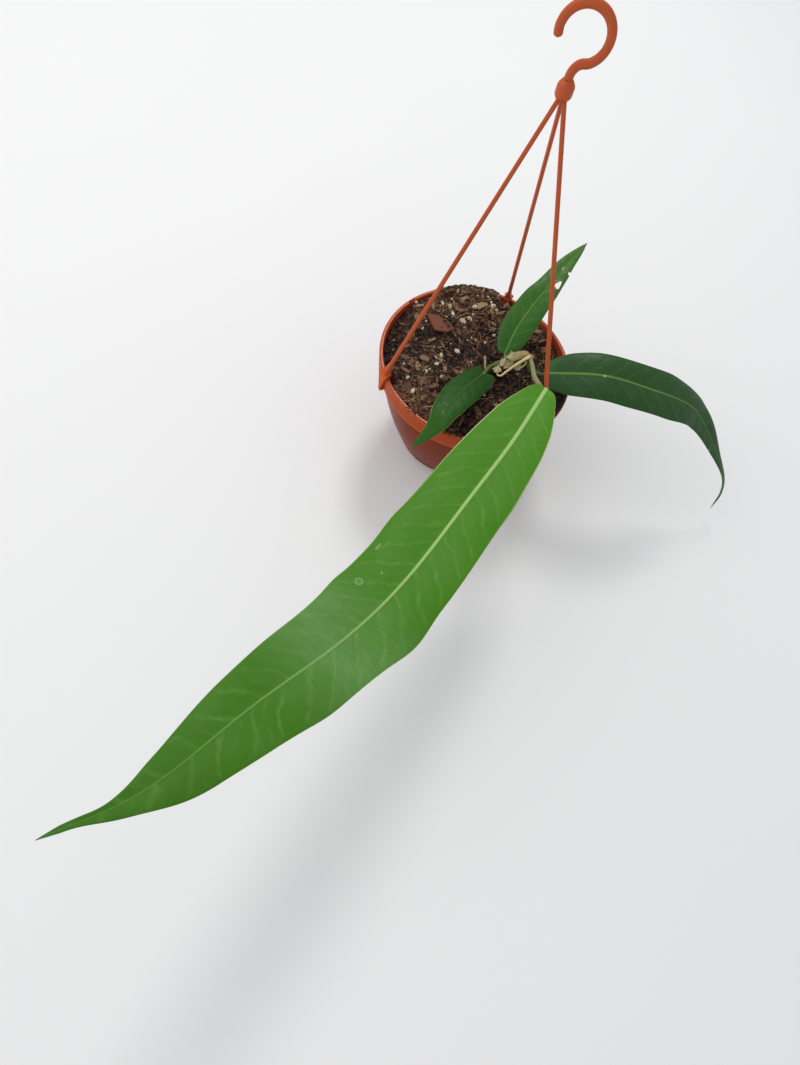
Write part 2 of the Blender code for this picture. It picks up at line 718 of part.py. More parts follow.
def blade_points(blade, rows):
    """The blade's points, with each row's point numbers on its upper and its under face.

    The first row has only the midrib's three points, and the rows beyond fan out from them.
    """
    middle = len(BLADE_COLUMNS)
    points = []
    faces = {1: [], -1: []}
    for row, distance in enumerate(blade_rows(blade, rows)):
        fade = min(blade.ridge(distance) / blade.leaf["ridge"], 1)
        offsets = blade_offsets(blade, distance)
        for face, numbers in faces.items():
            line = []
            for column, offset in enumerate(offsets):
                if row == 0 and abs(column - middle) > 1:
                    line.append(None)
                    continue
                lift = BLADE_THICKNESS / 2
                if column == middle:
                    lift += (RIDGE_TOP if face > 0 else RIDGE_KEEL) * fade
                line.append(len(points))
                points.append(blade.point(distance, offset, face * lift))
            numbers.append([line[min(max(column, middle - 1), middle + 1)] if number is None
                            else number for column, number in enumerate(line)])
    return points, faces[1], faces[-1]


def skin(tops, unders):
    """The blade's triangles, split alike on both faces, with its two edges and its tip."""
    faces = []
    for row in range(len(tops) - 1):
        for column in range(len(tops[0]) - 1):
            for line, flip in ((tops, False), (unders, True)):
                a, b = line[row][column], line[row][column + 1]
                c, d = line[row + 1][column + 1], line[row + 1][column]
                pair = [(a, b, c), (a, c, d)]
                faces += [face[::-1] if flip else face for face in pair if len(set(face)) == 3]
        for column in (0, -1):
            faces.append((tops[row][column], tops[row + 1][column],
                          unders[row + 1][column], unders[row][column]))
    for column in range(len(tops[0]) - 1):
        faces.append((tops[-1][column], tops[-1][column + 1],
                      unders[-1][column + 1], unders[-1][column]))
    return faces


def leaf_mesh(leaf):
    """Points and faces of a leaf: a thin blade with a midrib, and its petiole."""
    blade = Blade(leaf)
    points, tops, unders = blade_points(blade, leaf["rows"])
    faces = skin(tops, unders)
    middle = len(BLADE_COLUMNS)
    ring = tops[0][middle - 1:middle + 2] + unders[0][middle - 1:middle + 2][::-1]
    for stalk_ring in stalk_rings(blade, leaf, STALK_RINGS):
        after = [len(points) + index for index in range(6)]
        points += stalk_ring
        for index in range(6):
            next_index = (index + 1) % 6
            faces.append((ring[index], ring[next_index], after[next_index], after[index]))
        ring = after
    faces.append(tuple(ring))
    return points, faces


def make_leaf(name, leaf):
    thing = new_object(name, *leaf_mesh(leaf))
    finish(thing, name, 50.0)
    return thing


def leaf_cutter(blade, distance, offset, long_radius, cross_radius, wobble):
    """An uneven pin through the blade, for a bite or a torn notch."""
    heading = blade.route.heading(distance)
    side, normal = blade.frame(distance)
    centre = blade.point(distance, offset, 0)
    sides = 9
    points = []
    for level in (-4, 4):
        for index in range(sides):
            turn = 2 * math.pi * index / sides
            uneven = 1 + wobble * math.sin(3 * turn + 1)
            points.append(centre + heading * long_radius * uneven * math.cos(turn)
                          + side * cross_radius * uneven * math.sin(turn) + normal * level)
    faces = [tuple(range(sides)), tuple(range(sides, 2 * sides))]
    for index in range(sides):
        after = (index + 1) % sides
        faces.append((index, after, sides + after, sides + index))
    return new_object("cutter", points, faces)


def make_back_leaf():
    """The back leaf, with the hole bitten through it and the notch in its edge."""
    thing = new_object("leaf_back", *leaf_mesh(BACK_LEAF))
    blade = Blade(BACK_LEAF)
    cutters = [leaf_cutter(blade, *LEAF_HOLE, 0.15), leaf_cutter(blade, *LEAF_NOTCH, 0.2)]
    combine(thing, cutters, "DIFFERENCE")
    finish(thing, "leaf_back", 50.0)


def petiole_cutters():
    """Each petiole, grown by the gap, to seat it in the stem and pass the sheaths."""
    cutters = []
    for leaf in (LONG_LEAF, RIGHT_LEAF, BACK_LEAF, LOW_LEAF):
        route = Route(tuple(leaf["petiole"]) + (leaf["midrib"][0],))
        radius = leaf["stalk_radius"] * 1.02 + GAP
        cutters.append(tube("cutter", route, -GAP, route.length * 0.7, (radius, radius), 8, 12))
    return cutters


def make_stem():
    route = Route(STEM_POINTS)
    stem = tube("stem", route, 0.0, route.length, STEM_RADIUS, 10, STEM_SIDES)
    combine(stem, petiole_cutters(), "DIFFERENCE")
    finish(stem, "stem")


def sheath(start, end, radii, wrap, frill):
    """A papery sheath wound part of the way round the stem, wider at its free end."""
    route = Route(STEM_POINTS)
    rows, columns = 6, 7
    points = []
    for row in range(rows + 1):
        share = row / rows
        distance = route.length * (start + (end - start) * share)
        centre = route.at(distance)
        heading = route.heading(distance)
        across = heading.cross(Vector((0, 0, 1))).normalized()
        over = across.cross(heading).normalized()
        for wall in (0.0, SHEATH_WALL):
            for column in range(columns + 1):
                turn = math.radians(wrap[0] + (wrap[1] - wrap[0]) * column / columns)
                frilled = frill * share ** 2 * math.sin(column * 2.1 + row)
                radius = radii[0] + (radii[1] - radii[0]) * share + wall + frilled
                points.append(centre + across * radius * math.cos(turn)
                              + over * radius * math.sin(turn))
    width = columns + 1

    def corner(row, wall, column):
        return (row * 2 + wall) * width + column

    faces = []
    for row in range(rows):
        for column in range(columns):
            for wall in (0, 1):
                a, b = corner(row, wall, column), corner(row, wall, column + 1)
                c, d = corner(row + 1, wall, column + 1), corner(row + 1, wall, column)
                faces += [(a, b, c), (a, c, d)]
        for column in (0, columns):
            faces.append((corner(row, 0, column), corner(row + 1, 0, column),
                          corner(row + 1, 1, column), corner(row, 1, column)))
    for row in (0, rows):
        for column in range(columns):
            faces.append((corner(row, 0, column), corner(row, 0, column + 1),
                          corner(row, 1, column + 1), corner(row, 1, column)))
    return new_object("sheath", points, faces)


def straw_strand():
    """The pale curled strand that runs below the stem from its foot to the knee."""
    route = Route(((18, -8, 100.5), (21, -9.5, 102.5), (28, -6, 107), (33.5, 0.5, 111)))
    return tube("strand", route, 0.0, route.length, (0.6, 1.0), 8, 6)


def drop_scraps(thing):
    """Leaves the largest connected body of a mesh and removes any loose scrap."""
    work = bmesh.new()
    work.from_mesh(thing.data)
    left = set(work.verts)
    bodies = []
    while left:
        body = set()
        front = [left.pop()]
        while front:
            vertex = front.pop()
            body.add(vertex)
            for edge in vertex.link_edges:
                other = edge.other_vert(vertex)
                if other in left:
                    left.remove(other)
                    front.append(other)
        bodies.append(body)
    bodies.sort(key=len)
    scraps = [vertex for body in bodies[:-1] for vertex in body]
    bmesh.ops.delete(work, geom=scraps, context="VERTS")
    work.to_mesh(thing.data)
    work.free()


def make_sheaths():
    sheaths = sheath(0.50, 0.86, (4.9, 5.2), (5.0, 165.0), 0.2)
    parts = [
        sheath(0.66, 0.96, (5.0, 5.7), (-5.0, 150.0), 0.35),
        sheath(0.46, 0.60, (5.3, 6.6), (10.0, 100.0), 0.4),
        straw_strand(),
    ]
    combine(sheaths, parts, "UNION")
    combine(sheaths, petiole_cutters(), "DIFFERENCE")
    drop_scraps(sheaths)
    finish(sheaths, "dry_sheaths")


def build():
    clear_scene()
    make_pot()
    make_soil()
    make_hanger()
    make_stem()
    make_sheaths()
    make_leaf("leaf_long", LONG_LEAF)
    make_leaf("leaf_right", RIGHT_LEAF)
    make_leaf("leaf_low", LOW_LEAF)
    make_back_leaf()


build()
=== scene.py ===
"""Looks of the potted anthurium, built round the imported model.

Sizes and places are in millimetres and become metres where points are placed. The origin is the
middle of the pot's underside, +Z is up, and the longest leaf reaches out towards -Y.
"""
import math
import random

import bpy
import numpy as np
from mathutils import Matrix, Vector, noise


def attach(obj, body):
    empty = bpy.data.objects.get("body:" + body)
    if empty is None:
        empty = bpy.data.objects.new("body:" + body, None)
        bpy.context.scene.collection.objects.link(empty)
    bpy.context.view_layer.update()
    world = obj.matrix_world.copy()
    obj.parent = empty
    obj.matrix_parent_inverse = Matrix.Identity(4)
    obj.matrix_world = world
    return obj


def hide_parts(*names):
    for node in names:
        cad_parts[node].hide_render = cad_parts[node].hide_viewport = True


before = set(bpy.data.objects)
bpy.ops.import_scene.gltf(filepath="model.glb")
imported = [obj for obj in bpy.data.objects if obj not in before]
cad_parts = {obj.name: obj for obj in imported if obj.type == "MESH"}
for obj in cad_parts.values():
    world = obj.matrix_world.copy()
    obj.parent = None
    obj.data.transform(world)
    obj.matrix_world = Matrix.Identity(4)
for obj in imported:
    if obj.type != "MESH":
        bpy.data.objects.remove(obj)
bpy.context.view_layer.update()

MM = 0.001
SEED = 11
# Clearance between neighbouring pieces
GAP = 0.3
# Steps of a curve between two of its points
ROUTE_STEPS = 24

# Pot
POT_HEIGHT = 98.0
RIM_RADIUS = 75.0
RIM_WALL = 3.0
RIM_OUTER_ROUND = 1.2
RIM_INNER_ROUND = 1.0
BAND_HEIGHT = 15.0
BAND_TAPER = 1.0
BAND_STEP = 2.0
BAND_EDGE = 0.6
BAND_FOOT = POT_HEIGHT - BAND_HEIGHT
WALL = 2.0
WALL_TOP_RADIUS = 71.0
BASE_RADIUS = 47.0
BASE_CORNER = 6.0
WALL_BULGE = 3.0
FLOOR = 2.2
POT_SIDES = 160
DRAIN_HOLES = 6
DRAIN_RADIUS = 4.0
DRAIN_CIRCLE = 27.0
DRAIN_DRILL = 12.0

# Finish of the pot and hanger: glossy above a height, and two lines at the band's lower edge,
# a painted highlight and a painted shadow, each with its height over the edge and its reach
POT_GLOSS_FROM = 96.8
HANGER_GLOSS_FROM = 104.0
GLOSS_BLEND = 0.8
BAND_HIGHLIGHT = (0.8, 0.7)
BAND_SHADE = (-1.2, 1.8)

# Soil
SOIL_LEVEL = -4.0
SOIL_LUMP = 1.6
SOIL_LUMP_SIZE = 9.0
# Each swell is a place (x, y), a reach and a height above or below the level
SOIL_SWELLS = (
    ((-12.0, 58.0), 30.0, 10.5),
    ((62.0, -22.0), 16.0, 6.5),
    ((12.0, -2.0), 22.0, 3.0),
    ((-66.0, -6.0), 26.0, -6.5),
    ((66.0, 26.0), 20.0, -5.0),
    ((-14.0, -60.0), 26.0, -3.0),
)
SOIL_SIDES = 176
SOIL_RINGS = 78
# Soil that lies over the rim: azimuths from and to, and the most it rises above the rim
SOIL_SPILLS = ((91.0, 132.0, 5.0), (-22.0, 2.0, 3.0))
SPILL_RADII = (64.0, 74.2)
SPILL_CRUMB_RADII = (65.0, 73.4)
# How many loose bits there are of each kind, how far out they are strewn, and how far they keep
# from the stem
CRUMBS = 5200
SPILL_CRUMBS = 420
CHIPS = 560
GRAINS = 130
FIBRES = 150
FRONT_FIBRES = 70
CRUMB_REACH = 70.5
CHIP_REACH = 69.0
GRAIN_REACH = 67.0
FIBRE_REACH = 64.0
STEM_CLEARANCE = 7.0
# Threads: their radius, how far out their ends may come, and where those on the rim turn dark
THREAD_RADIUS = 0.16
THREAD_LIMIT = 70.0
THREAD_DARK = 71.2
# Soil pressed down round a clip's tooth: how far, over how many degrees on each side before it
# fades and while it does, and the radius from which and the width over which it deepens
CLIP_DENT = 9.5
DENT_SPAN = 4.5
DENT_FADE = 2.5
DENT_FROM = 65.0
DENT_SLOPE = 3.5
# How far the corners of a small bit stray, as a share of its length
SHAPE_SPREAD = {"crumb": 0.17, "grain": 0.12, "chip": 0.055}
# Large flat chips: corners seen from above, thickness and tint
SLABS = (
    (((-49.0, 30.8), (-39.4, 32.3), (-26.4, 26.0), (-25.4, 21.3), (-28.2, 17.4), (-38.3, 16.0)),
     2.2, 0.0),
    (((-15.8, 44.2), (-15.2, 48.0), (-11.8, 52.0), (-6.8, 53.0), (-6.6, 48.9), (-10.2, 44.2)),
     1.6, 1.0),
    (((-39.0, -29.0), (-34.5, -26.6), (-28.4, -28.6), (-27.0, -33.2), (-32.6, -36.0),
      (-38.0, -34.0)), 1.4, 0.45),
    (((-52.4, -13.0), (-47.0, -12.4), (-43.8, -16.4), (-46.4, -21.2), (-51.2, -19.6)), 1.4, 0.35),
)
# Threads that hang over the rim: azimuths, the height of each of a thread's points above the
# rim, the first point's radius, and the step outwards to the next
RIM_THREADS = (-119.5, -117.8, -116.6, -115.0, -91.5, -89.6, -87.4, -61.0)
RIM_THREAD_RISE = (-1.2, 0.4, 0.35, 0.3, -1.0)
RIM_THREAD_START = 69.5
RIM_THREAD_STEP = 1.45
# Crumbs caught on the rim: azimuth and count
RIM_CRUMBS = ((-117, 5), (-113, 4), (-90, 4), (-87, 5), (150, 4), (60, 6), (20, 4))
# A pale stick, a pale root and the largest pale grains, seen from above
STICK_POINTS = ((5.2, 4.6), (6.2, 1.0), (7.3, -3.0), (8.3, -6.4))
ROOT_POINTS = ((-26.0, 24.0), (-23.4, 20.4), (-21.6, 17.8), (-18.0, 15.4), (-16.0, 11.4))
GRAIN_PLACES = (
    (-31, 57), (-60, 39), (-33, 41), (-39, 43), (-1, 52), (-20, 32), (-15, 35), (-48, 18),
    (7, 29), (2, 20), (-16, 3), (-27, -4), (-28, -13), (-33, -24), (-45, -34), (-21, -24),
    (3, 51), (-29, 36), (-14, 45), (-51, -22), (-38, -45),
)

# Hanger: arm azimuths and clip widths in the same order
ARM_AZIMUTHS = (-146.0, 83.0, -33.0)
CLIP_WIDTHS = (12.5, 7.5, 10.5)
ARM_FOOT_RADIUS = 73.0
ARM_FOOT_SIZE = (1.6, 1.9)
ARM_HUB_SIZE = (1.25, 1.45)
HUB_CENTRE = (-6.0, 9.0, 288.0)
HUB_RADIUS = 4.6
HUB_HEIGHT = 9.0
HOOK_WIRE = 2.3
HOOK_RADIUS = 12.3
HOOK_START_ANGLE = -78.0
HOOK_OPEN_ANGLE = 70.0
HOOK_NECK = 7.0
CLIP_WALL = 1.7
CLIP_TOOTH_DROP = 8.0
CLIP_TOOTH_WIDTH = 5.5
CLIP_LIP = 2.2
WEB_LENGTH = 10.0
WEB_SUNK = 1.0

# Stem, and the knee where the petioles leave it
STEM_POINTS = ((7, -4, 80), (12, -4, 96), (20, -1.5, 105), (28, 3, 110), (36, 6.5, 112.5))
STEM_RADIUS = (4.6, 2.9)
KNEE_CENTRE = (36.6, 4.4, 113.6)
KNEE_RADII = (2.7, 2.3, 2.2)
# Heights between which the stem turns dark brown towards its foot, and places in X between which
# the sheaths and the knee turn tan
DARK_FOOT_LINE = (106.5, 100.5)
KNEE_LINE = (33.8, 37.2)
SHEATH_WALL = 0.35
BRACT_WALL = 0.18
# The straw-coloured strand and the short curl beside its upper end
STRAW_POINTS = ((17.4, -11.4, 103.4), (18.6, -12.9, 103.6), (20.6, -12.6, 103.8),
                (22.2, -11.0, 104.8), (24.4, -8.4, 106.8), (28.9, -3.9, 110.8),
                (33.3, -0.1, 114.2), (36.4, 2.6, 116.0))
CURL_POINTS = ((35.6, 1.0, 112.6), (35.0, -0.8, 110.0), (33.5, -2.2, 108.0), (31.4, -2.8, 106.3))

# Torn bracts: low left, low right, high left and high right corner, a seed, and how crushed
FLAPS = (
    (((20.2, -0.8, 111.3), (23.4, -2.0, 111.3), (22.0, 4.2, 114.0), (24.6, 2.5, 114.2)),
     5.0, 0.2),
    (((17.4, -7.0, 106.4), (20.2, -6.4, 107.4), (16.9, -2.0, 109.2), (20.0, -1.2, 111.2)),
     8.0, 0.3),
    (((17.0, -11.8, 103.2), (20.6, -9.0, 104.8), (13.0, -8.8, 103.8), (17.0, -5.9, 106.6)),
     17.0, 0.35),
    (((29.6, -3.8, 104.0), (33.2, -3.1, 104.6), (27.8, -0.6, 106.8), (33.6, 0.0, 107.8)),
     3.0, 0.6),
)
# The striped flap under the arch
TAN_FLAP = (((21.2, -7.4, 105.6), (26.6, -4.6, 107.0), (19.4, -1.0, 109.6), (26.4, -0.4, 111.0)),
            12.0, 0.4)

# Leaves: the petiole's points, the blade's middle line, and half its width by distance along it.
# One side is wider by lean, lobe sets the base's corners back, and fold and droop bend the sides.
# Veins and rib show by a share. Each wander is a place along, a reach, an amount and a side
LONG_LEAF = {
    "petiole": ((37.2, 4.8, 112.5), (38.7, -1.2, 114.8), (40.2, -9.6, 118.6), (42.2, -24, 125.6)),
    "midrib": ((49.5, -42.5, 139), (36.8, -91.5, 137.7), (20.5, -142, 140), (-1, -208, 148),
               (-21, -254, 162), (-48.5, -303, 188.5), (-69.6, -345, 214), (-91.3, -368, 231.6)),
    "outline": ((0, 2.5), (3, 7), (8, 10.8), (14, 13.7), (24, 17.8), (36, 21), (57, 24.1),
                (100, 26.4), (180, 27), (233, 24.3), (262, 22.7), (292, 19.2), (321, 13.2),
                (350, 4.6), (381, 0.5)),
    "up": (0, 0, 1), "lean": 0.32, "lobe": 2.4, "fold": 6.0, "droop": 0.12,
    "wave": 1.3, "waves": 5.5, "ridge": 1.5,
    "rows": 300, "vein_gap": 17.0, "vein_show": 0.27, "rib_show": 1.0, "stalk": 1.7,
    "wander": ((205.0, 19.0, 2.5, -1), (184.0, 12.0, -0.5, -1), (208.0, 10.0, 0.8, 1),
               (150.0, 13.0, 0.9, 1), (96.0, 16.0, 0.7, -1), (262.0, 14.0, 0.7, -1),
               (284.0, 24.0, -1.3, 1), (338.0, 9.0, 0.9, 1), (357.0, 7.0, -0.8, 1),
               (334.0, 12.0, 1.0, -1), (366.0, 10.0, -1.4, -1)),
}
RIGHT_LEAF = {
    "petiole": ((33, 4, 110), (41, 1, 105.5), (48, -1, 106)),
    "midrib": ((54, -3, 112), (92, 2, 122), (129, 7, 119), (163, 16, 108), (181, 18, 96),
               (202, 15, 78), (228, 11, 52), (240, 8, 31), (243, 3, 11)),
    "outline": ((0, 2.2), (3, 8), (9, 13.5), (18, 16.8), (40, 18.2), (92, 18.2), (115, 15.4),
                (140, 10.8), (160, 7.4), (185, 3.6), (205, 1.9), (225, 1.2), (242, 0.5)),
    "up": (0, -0.3, 1), "lean": 0.0, "lobe": 5.0, "fold": 4.0, "droop": 0.14,
    "wave": 0.8, "waves": 3.5, "ridge": 1.1,
    "rows": 220, "vein_gap": 14.0, "vein_show": 0.24, "rib_show": 0.75, "stalk": 1.6,
    "wander": ((60.0, 12.0, 0.5, 1), (104.0, 12.0, 0.5, -1)),
}
BACK_LEAF = {
    "petiole": ((23, 0, 107), (20.5, 3, 106.5)),
    "midrib": ((18.6, 5.5, 107), (21, 23, 118), (27, 41, 128), (33, 55, 134), (41, 78, 140),
               (52.5, 105, 144)),
    "outline": ((0, 1.8), (3, 6), (9, 9.6), (18, 11.9), (28, 12.5), (44, 11.4), (62, 9.2),
                (80, 6.9), (98, 4), (108, 1.8), (117, 0.4)),
    "up": (0, -0.3, 1), "lean": 0.0, "lobe": 2.0, "fold": 8.0, "droop": 0.18,
    "wave": 0.5, "waves": 3.0, "ridge": 0.8,
    "rows": 150, "vein_gap": 10.0, "vein_show": 0.26, "rib_show": 0.6, "stalk": 1.3,
    "wander": ((50.0, 9.0, 0.4, -1), (76.0, 7.0, 0.4, 1)),
}
LOW_LEAF = {
    "petiole": ((17, -4, 104.5), (12.6, -6, 104.2), (9.8, -10.5, 104.6)),
    "midrib": ((8, -18, 107), (-2, -41, 111), (-9.5, -62, 112.5), (-13.5, -79, 111),
               (-25, -99.5, 103)),
    "outline": ((0, 1.8), (3, 7), (8, 10), (15, 11.8), (26, 12), (41, 11.2), (55, 9.2),
                (69, 5.8), (82, 2.6), (91, 0.4)),
    "up": (0, 0, 1), "lean": 0.0, "lobe": 7.0, "fold": 5.0, "droop": 0.20,
    "wave": 0.5, "waves": 3.0, "ridge": 0.8,
    "rows": 130, "vein_gap": 10.0, "vein_show": 0.24, "rib_show": 0.4, "stalk": 1.3,
    "wander": ((34.0, 7.0, 0.5, 1), (56.0, 7.0, -0.5, -1)),
}
BLADE_THICKNESS = 0.55
RIDGE_TOP = 0.5
RIDGE_KEEL = 1.1
RIDGE_END = 0.25
RIDGE_COLUMNS = 4
SIDE_COLUMNS = 20
LOBE_PLACE = 4.0
TIP_LENGTH = 7.0
BASE_LEAN = 0.2
QUILTING = 0.09
STALK_TAPER = 10.0
# Bite through the back leaf and notch in its edge: distance, offset, long and cross radius
LEAF_HOLE = (66.0, 5.0, 3.6, 1.9)
LEAF_NOTCH = (80.0, 8.2, 2.2, 2.6)

# Lamps: name, place in metres, width, power and colour
LAMPS = (
    ("window", (-0.17, 1.14, 1.69), 0.5, 13.0, (1.0, 0.99, 0.97)),
    ("left_side", (-1.2, -0.4, 1.3), 1.4, 10.0, (1.0, 0.98, 0.96)),
)
LAMP_TARGET = (0.0, -0.1, 0.1)
SKY_COLOUR = (0.95, 0.97, 1.0, 1.0)
SKY_STRENGTH = 0.56
FLOOR_SIZE = 6.0

# Camera: place in metres, its right and up, its focal length and image height in pixels, its
# sensor in millimetres, and the nearest and farthest that it sees in metres
CAMERA_PLACE = (-0.0134, -0.3375, 0.4630)
CAMERA_RIGHT = (0.9477, 0.2873, 0.1393)
CAMERA_UP = (-0.3193, 0.8527, 0.4135)
FOCAL_PIXELS = 620
IMAGE_HEIGHT = 1065
SENSOR = 36.0
CAMERA_RANGE = (0.02, 20.0)


# Shading


def paint(red, green, blue):
    """A colour as a paint card gives it, from 0 to 255, made linear for the shader."""
    shares = (value / 255 for value in (red, green, blue))
    linear = [share / 12.92 if share <= 0.04045 else ((share + 0.055) / 1.055) ** 2.4
              for share in shares]
    return (*linear, 1.0)


class Wire:
    """A value in a material, which adds its own node to every sum that it takes part in."""

    def __init__(self, tree, socket):
        self.tree = tree
        self.socket = socket

    def node(self, kind, settings, inputs, output=0):
        """Any node: its settings first, then the values or wires of its sockets."""
        made = self.tree.nodes.new(kind)
        stops = settings.pop("stops", None)
        for name, value in settings.items():
            setattr(made, name, value)
        if stops:
            fill_ramp(made.color_ramp, stops)
        for name, value in inputs.items():
            if isinstance(value, Wire):
                self.tree.links.new(value.socket, made.inputs[name])
            else:
                made.inputs[name].default_value = value
        return Wire(self.tree, made.outputs[output])

    def maths(self, operation, *values):
        return self.node("ShaderNodeMath", {"operation": operation}, dict(enumerate(values)))

    def __add__(self, other):
        return self.maths("ADD", self, other)

    def __radd__(self, other):
        return self.maths("ADD", other, self)

    def __sub__(self, other):
        return self.maths("SUBTRACT", self, other)

    def __rsub__(self, other):
        return self.maths("SUBTRACT", other, self)

    def __mul__(self, other):
        return self.maths("MULTIPLY", self, other)

    def __rmul__(self, other):
        return self.maths("MULTIPLY", other, self)

    def __truediv__(self, other):
        return self.maths("DIVIDE", self, other)

    def __abs__(self):
        return self.maths("ABSOLUTE", self)

    def larger(self, other):
        return self.maths("MAXIMUM", self, other)

    def smaller(self, other):
        return self.maths("MINIMUM", self, other)

    def clamped(self):
        return self.larger(0.0).smaller(1.0)

    def fraction(self):
        return self.maths("FRACT", self)

    def power(self, other):
        return self.maths("POWER", self, other)

    def step(self, low, high):
        """A soft step from 0 at low to 1 at high, or down from 1 where low is the larger."""
        if low > high:
            return 1 - self.step(high, low)
        return self.node("ShaderNodeMapRange", {"interpolation_type": "SMOOTHSTEP"},
                         {"Value": self, "From Min": low, "From Max": high})

    def near(self, place, reach):
        """1 at a place, falling softly to 0 a reach away from it."""
        return abs(self - place).step(reach, 0.0)

    def scaled(self, x, y, z):
        """A vector times three numbers."""
        return self.node("ShaderNodeVectorMath", {"operation": "MULTIPLY"},
                         {0: self, 1: (x, y, z)})

    def part(self, axis):
        """One number of a vector."""
        return self.node("ShaderNodeSeparateXYZ", {}, {0: self}, axis)

    def first_two(self):
        """The first two numbers of a vector."""
        return self.part("X"), self.part("Y")

    def grain(self, size, detail=4.0, rough=0.55):
        """Soft noise whose lumps are about one size, in the unit of the vector."""
        return self.node("ShaderNodeTexNoise", {},
                         {"Vector": self, "Scale": 1 / size, "Detail": detail,
                          "Roughness": rough}, "Fac")

    def cells(self, size, feature="F1"):
        """Distances in a pattern of cells of about one size."""
        return self.node("ShaderNodeTexVoronoi", {"feature": feature},
                         {"Vector": self, "Scale": 1 / size}, "Distance")

    def ramp(self, *stops):
        return self.node("ShaderNodeValToRGB", {"stops": stops}, {"Fac": self}, "Color")

    def toward(self, other, share):
        """This colour mixed with another one by a share."""
        return self.node("ShaderNodeMix", {"data_type": "RGBA"}, {0: share, 6: self, 7: other}, 2)


def fill_ramp(ramp, stops):
    """Puts (place, colour) stops on a colour ramp."""
    while len(ramp.elements) < len(stops):
        ramp.elements.new(1.0)
    for element, (place, colour) in zip(ramp.elements, stops):
        element.position = place
        element.color = colour


class Finish:
    """One material: its shader, with constants set on it, and the places its patterns read."""

    def __init__(self, name, **constants):
        self.material = bpy.data.materials.new(name)
        self.material.use_nodes = True
        self.tree = self.material.node_tree
        self.shader = self.tree.nodes["Principled BSDF"]
        for socket, value in constants.items():
            self.shader.inputs[socket.replace("_", " ")].default_value = value

    def source(self, kind, settings, output):
        return Wire(self.tree, None).node(kind, settings, {}, output)

    def place(self):
        """The place on the object, in metres."""
        return self.source("ShaderNodeTexCoord", {}, "Object")

    def flat(self, name):
        """The place on a UV map, as a vector."""
        return self.source("ShaderNodeUVMap", {"uv_map": name}, 0)

    def tint(self):
        """A number from 0 to 1 that each small bit carries."""
        return self.source("ShaderNodeAttribute", {"attribute_name": "tint"}, "Fac")

    def colour(self, value):
        """A plain colour that can be mixed."""
        made = self.source("ShaderNodeRGB", {}, 0)
        made.socket.default_value = value
        return made

    def coat(self, **wires):
        for socket, wire in wires.items():
            self.tree.links.new(wire.socket, self.shader.inputs[socket.replace("_", " ")])

    def bump(self, height, depth):
        """Raises the surface by a height from 0 to 1 times a depth in millimetres."""
        inputs = {"Height": height, "Distance": depth * MM}
        self.coat(Normal=height.node("ShaderNodeBump", {}, inputs, "Normal"))


def paint_band_shading(colour, shade, height):
    """Painted shade below the band, with painted highlight and shadow lines at its lower edge."""
    highlight, shadow = (((BAND_FOOT + over) * MM, reach * MM) for over, reach in
                     (BAND_HIGHLIGHT, BAND_SHADE))
    edge = height.step((BAND_FOOT + 0.3) * MM, (BAND_FOOT - 0.1) * MM)
    colour = colour.toward(shade, edge * 0.85)
    colour = colour.toward(paint(226, 130, 86), height.near(*highlight) * 0.55)
    return colour.toward(paint(46, 14, 8), height.near(*shadow) * 0.7)


def plastic_finish(name, main, shade, rough, gloss_from, gloss, has_band=False):
    """Moulded terracotta plastic: faint mottling, fine scuffs and a little soil dust. It is
    glossiest above a height, where hands and rain keep it clean."""
    finish = Finish(name, Specular_IOR_Level=0.03, Coat_Roughness=rough)
    place = finish.place()
    mottle = place.grain(0.018, 5.0)
    dust = place.grain(0.0035, 6.0, 0.7).step(0.56, 0.74)
    scuff = place.scaled(1, 1, 0.18).grain(0.002, 5.0, 0.7)
    height = place.part("Z")
    colour = finish.colour(main).toward(shade, mottle * 0.3)
    # On the pot: painted shade below the band, and painted highlight and shadow lines at its edge
    if has_band:
        colour = paint_band_shading(colour, shade, height)
    colour = colour.toward(paint(96, 66, 46), dust * 0.2)
    glossy = height.step((gloss_from - GLOSS_BLEND) * MM, gloss_from * MM)
    finish.coat(Base_Color=colour, Coat_Weight=glossy * gloss,
                Roughness=rough + mottle * 0.12 + dust * 0.22 + scuff * 0.05)
    finish.bump(place.grain(0.0016, 3.0) * 0.6 + scuff * 0.4, 0.03)
    return finish.material


def soil_patches(place):
    """Paler soil at the back and the front left, and darker soil elsewhere."""
    wander = place.grain(0.024, 3.0, 0.6).step(0.36, 0.62)
    x, y = place.first_two()
    back = y.step(0.020, 0.055)
    front_left = y.step(-0.022, -0.045) * x.step(0.0, -0.02)
    return (wander * 0.5 + back * 0.6 + front_left * 0.5).clamped()


def soil_finish(name):
    """Damp bark and coir: near-black gaps, brown crumbs and a few paler specks."""
    finish = Finish(name, Specular_IOR_Level=0.3)
    place = finish.place()
    crumbs = place.cells(0.0022)
    lumps = place.grain(0.006, 6.0, 0.7)
    tone = (lumps * 0.75 + crumbs * 0.35 + soil_patches(place) * 0.3 - 0.15).clamped()
    colour = tone.ramp((0.30, paint(16, 10, 8)), (0.46, paint(42, 27, 20)),
                       (0.60, paint(76, 48, 33)), (0.78, paint(112, 72, 48)))
    fibre = place.scaled(1, 3.2, 1).grain(0.004, 5.0, 0.7)
    colour = colour.toward(paint(128, 92, 62), fibre.step(0.60, 0.74) * 0.55)
    finish.coat(Base_Color=colour, Roughness=0.98 - lumps * 0.25)
    finish.bump(lumps * 0.6 + crumbs * 0.5, 1.2)
    return finish.material


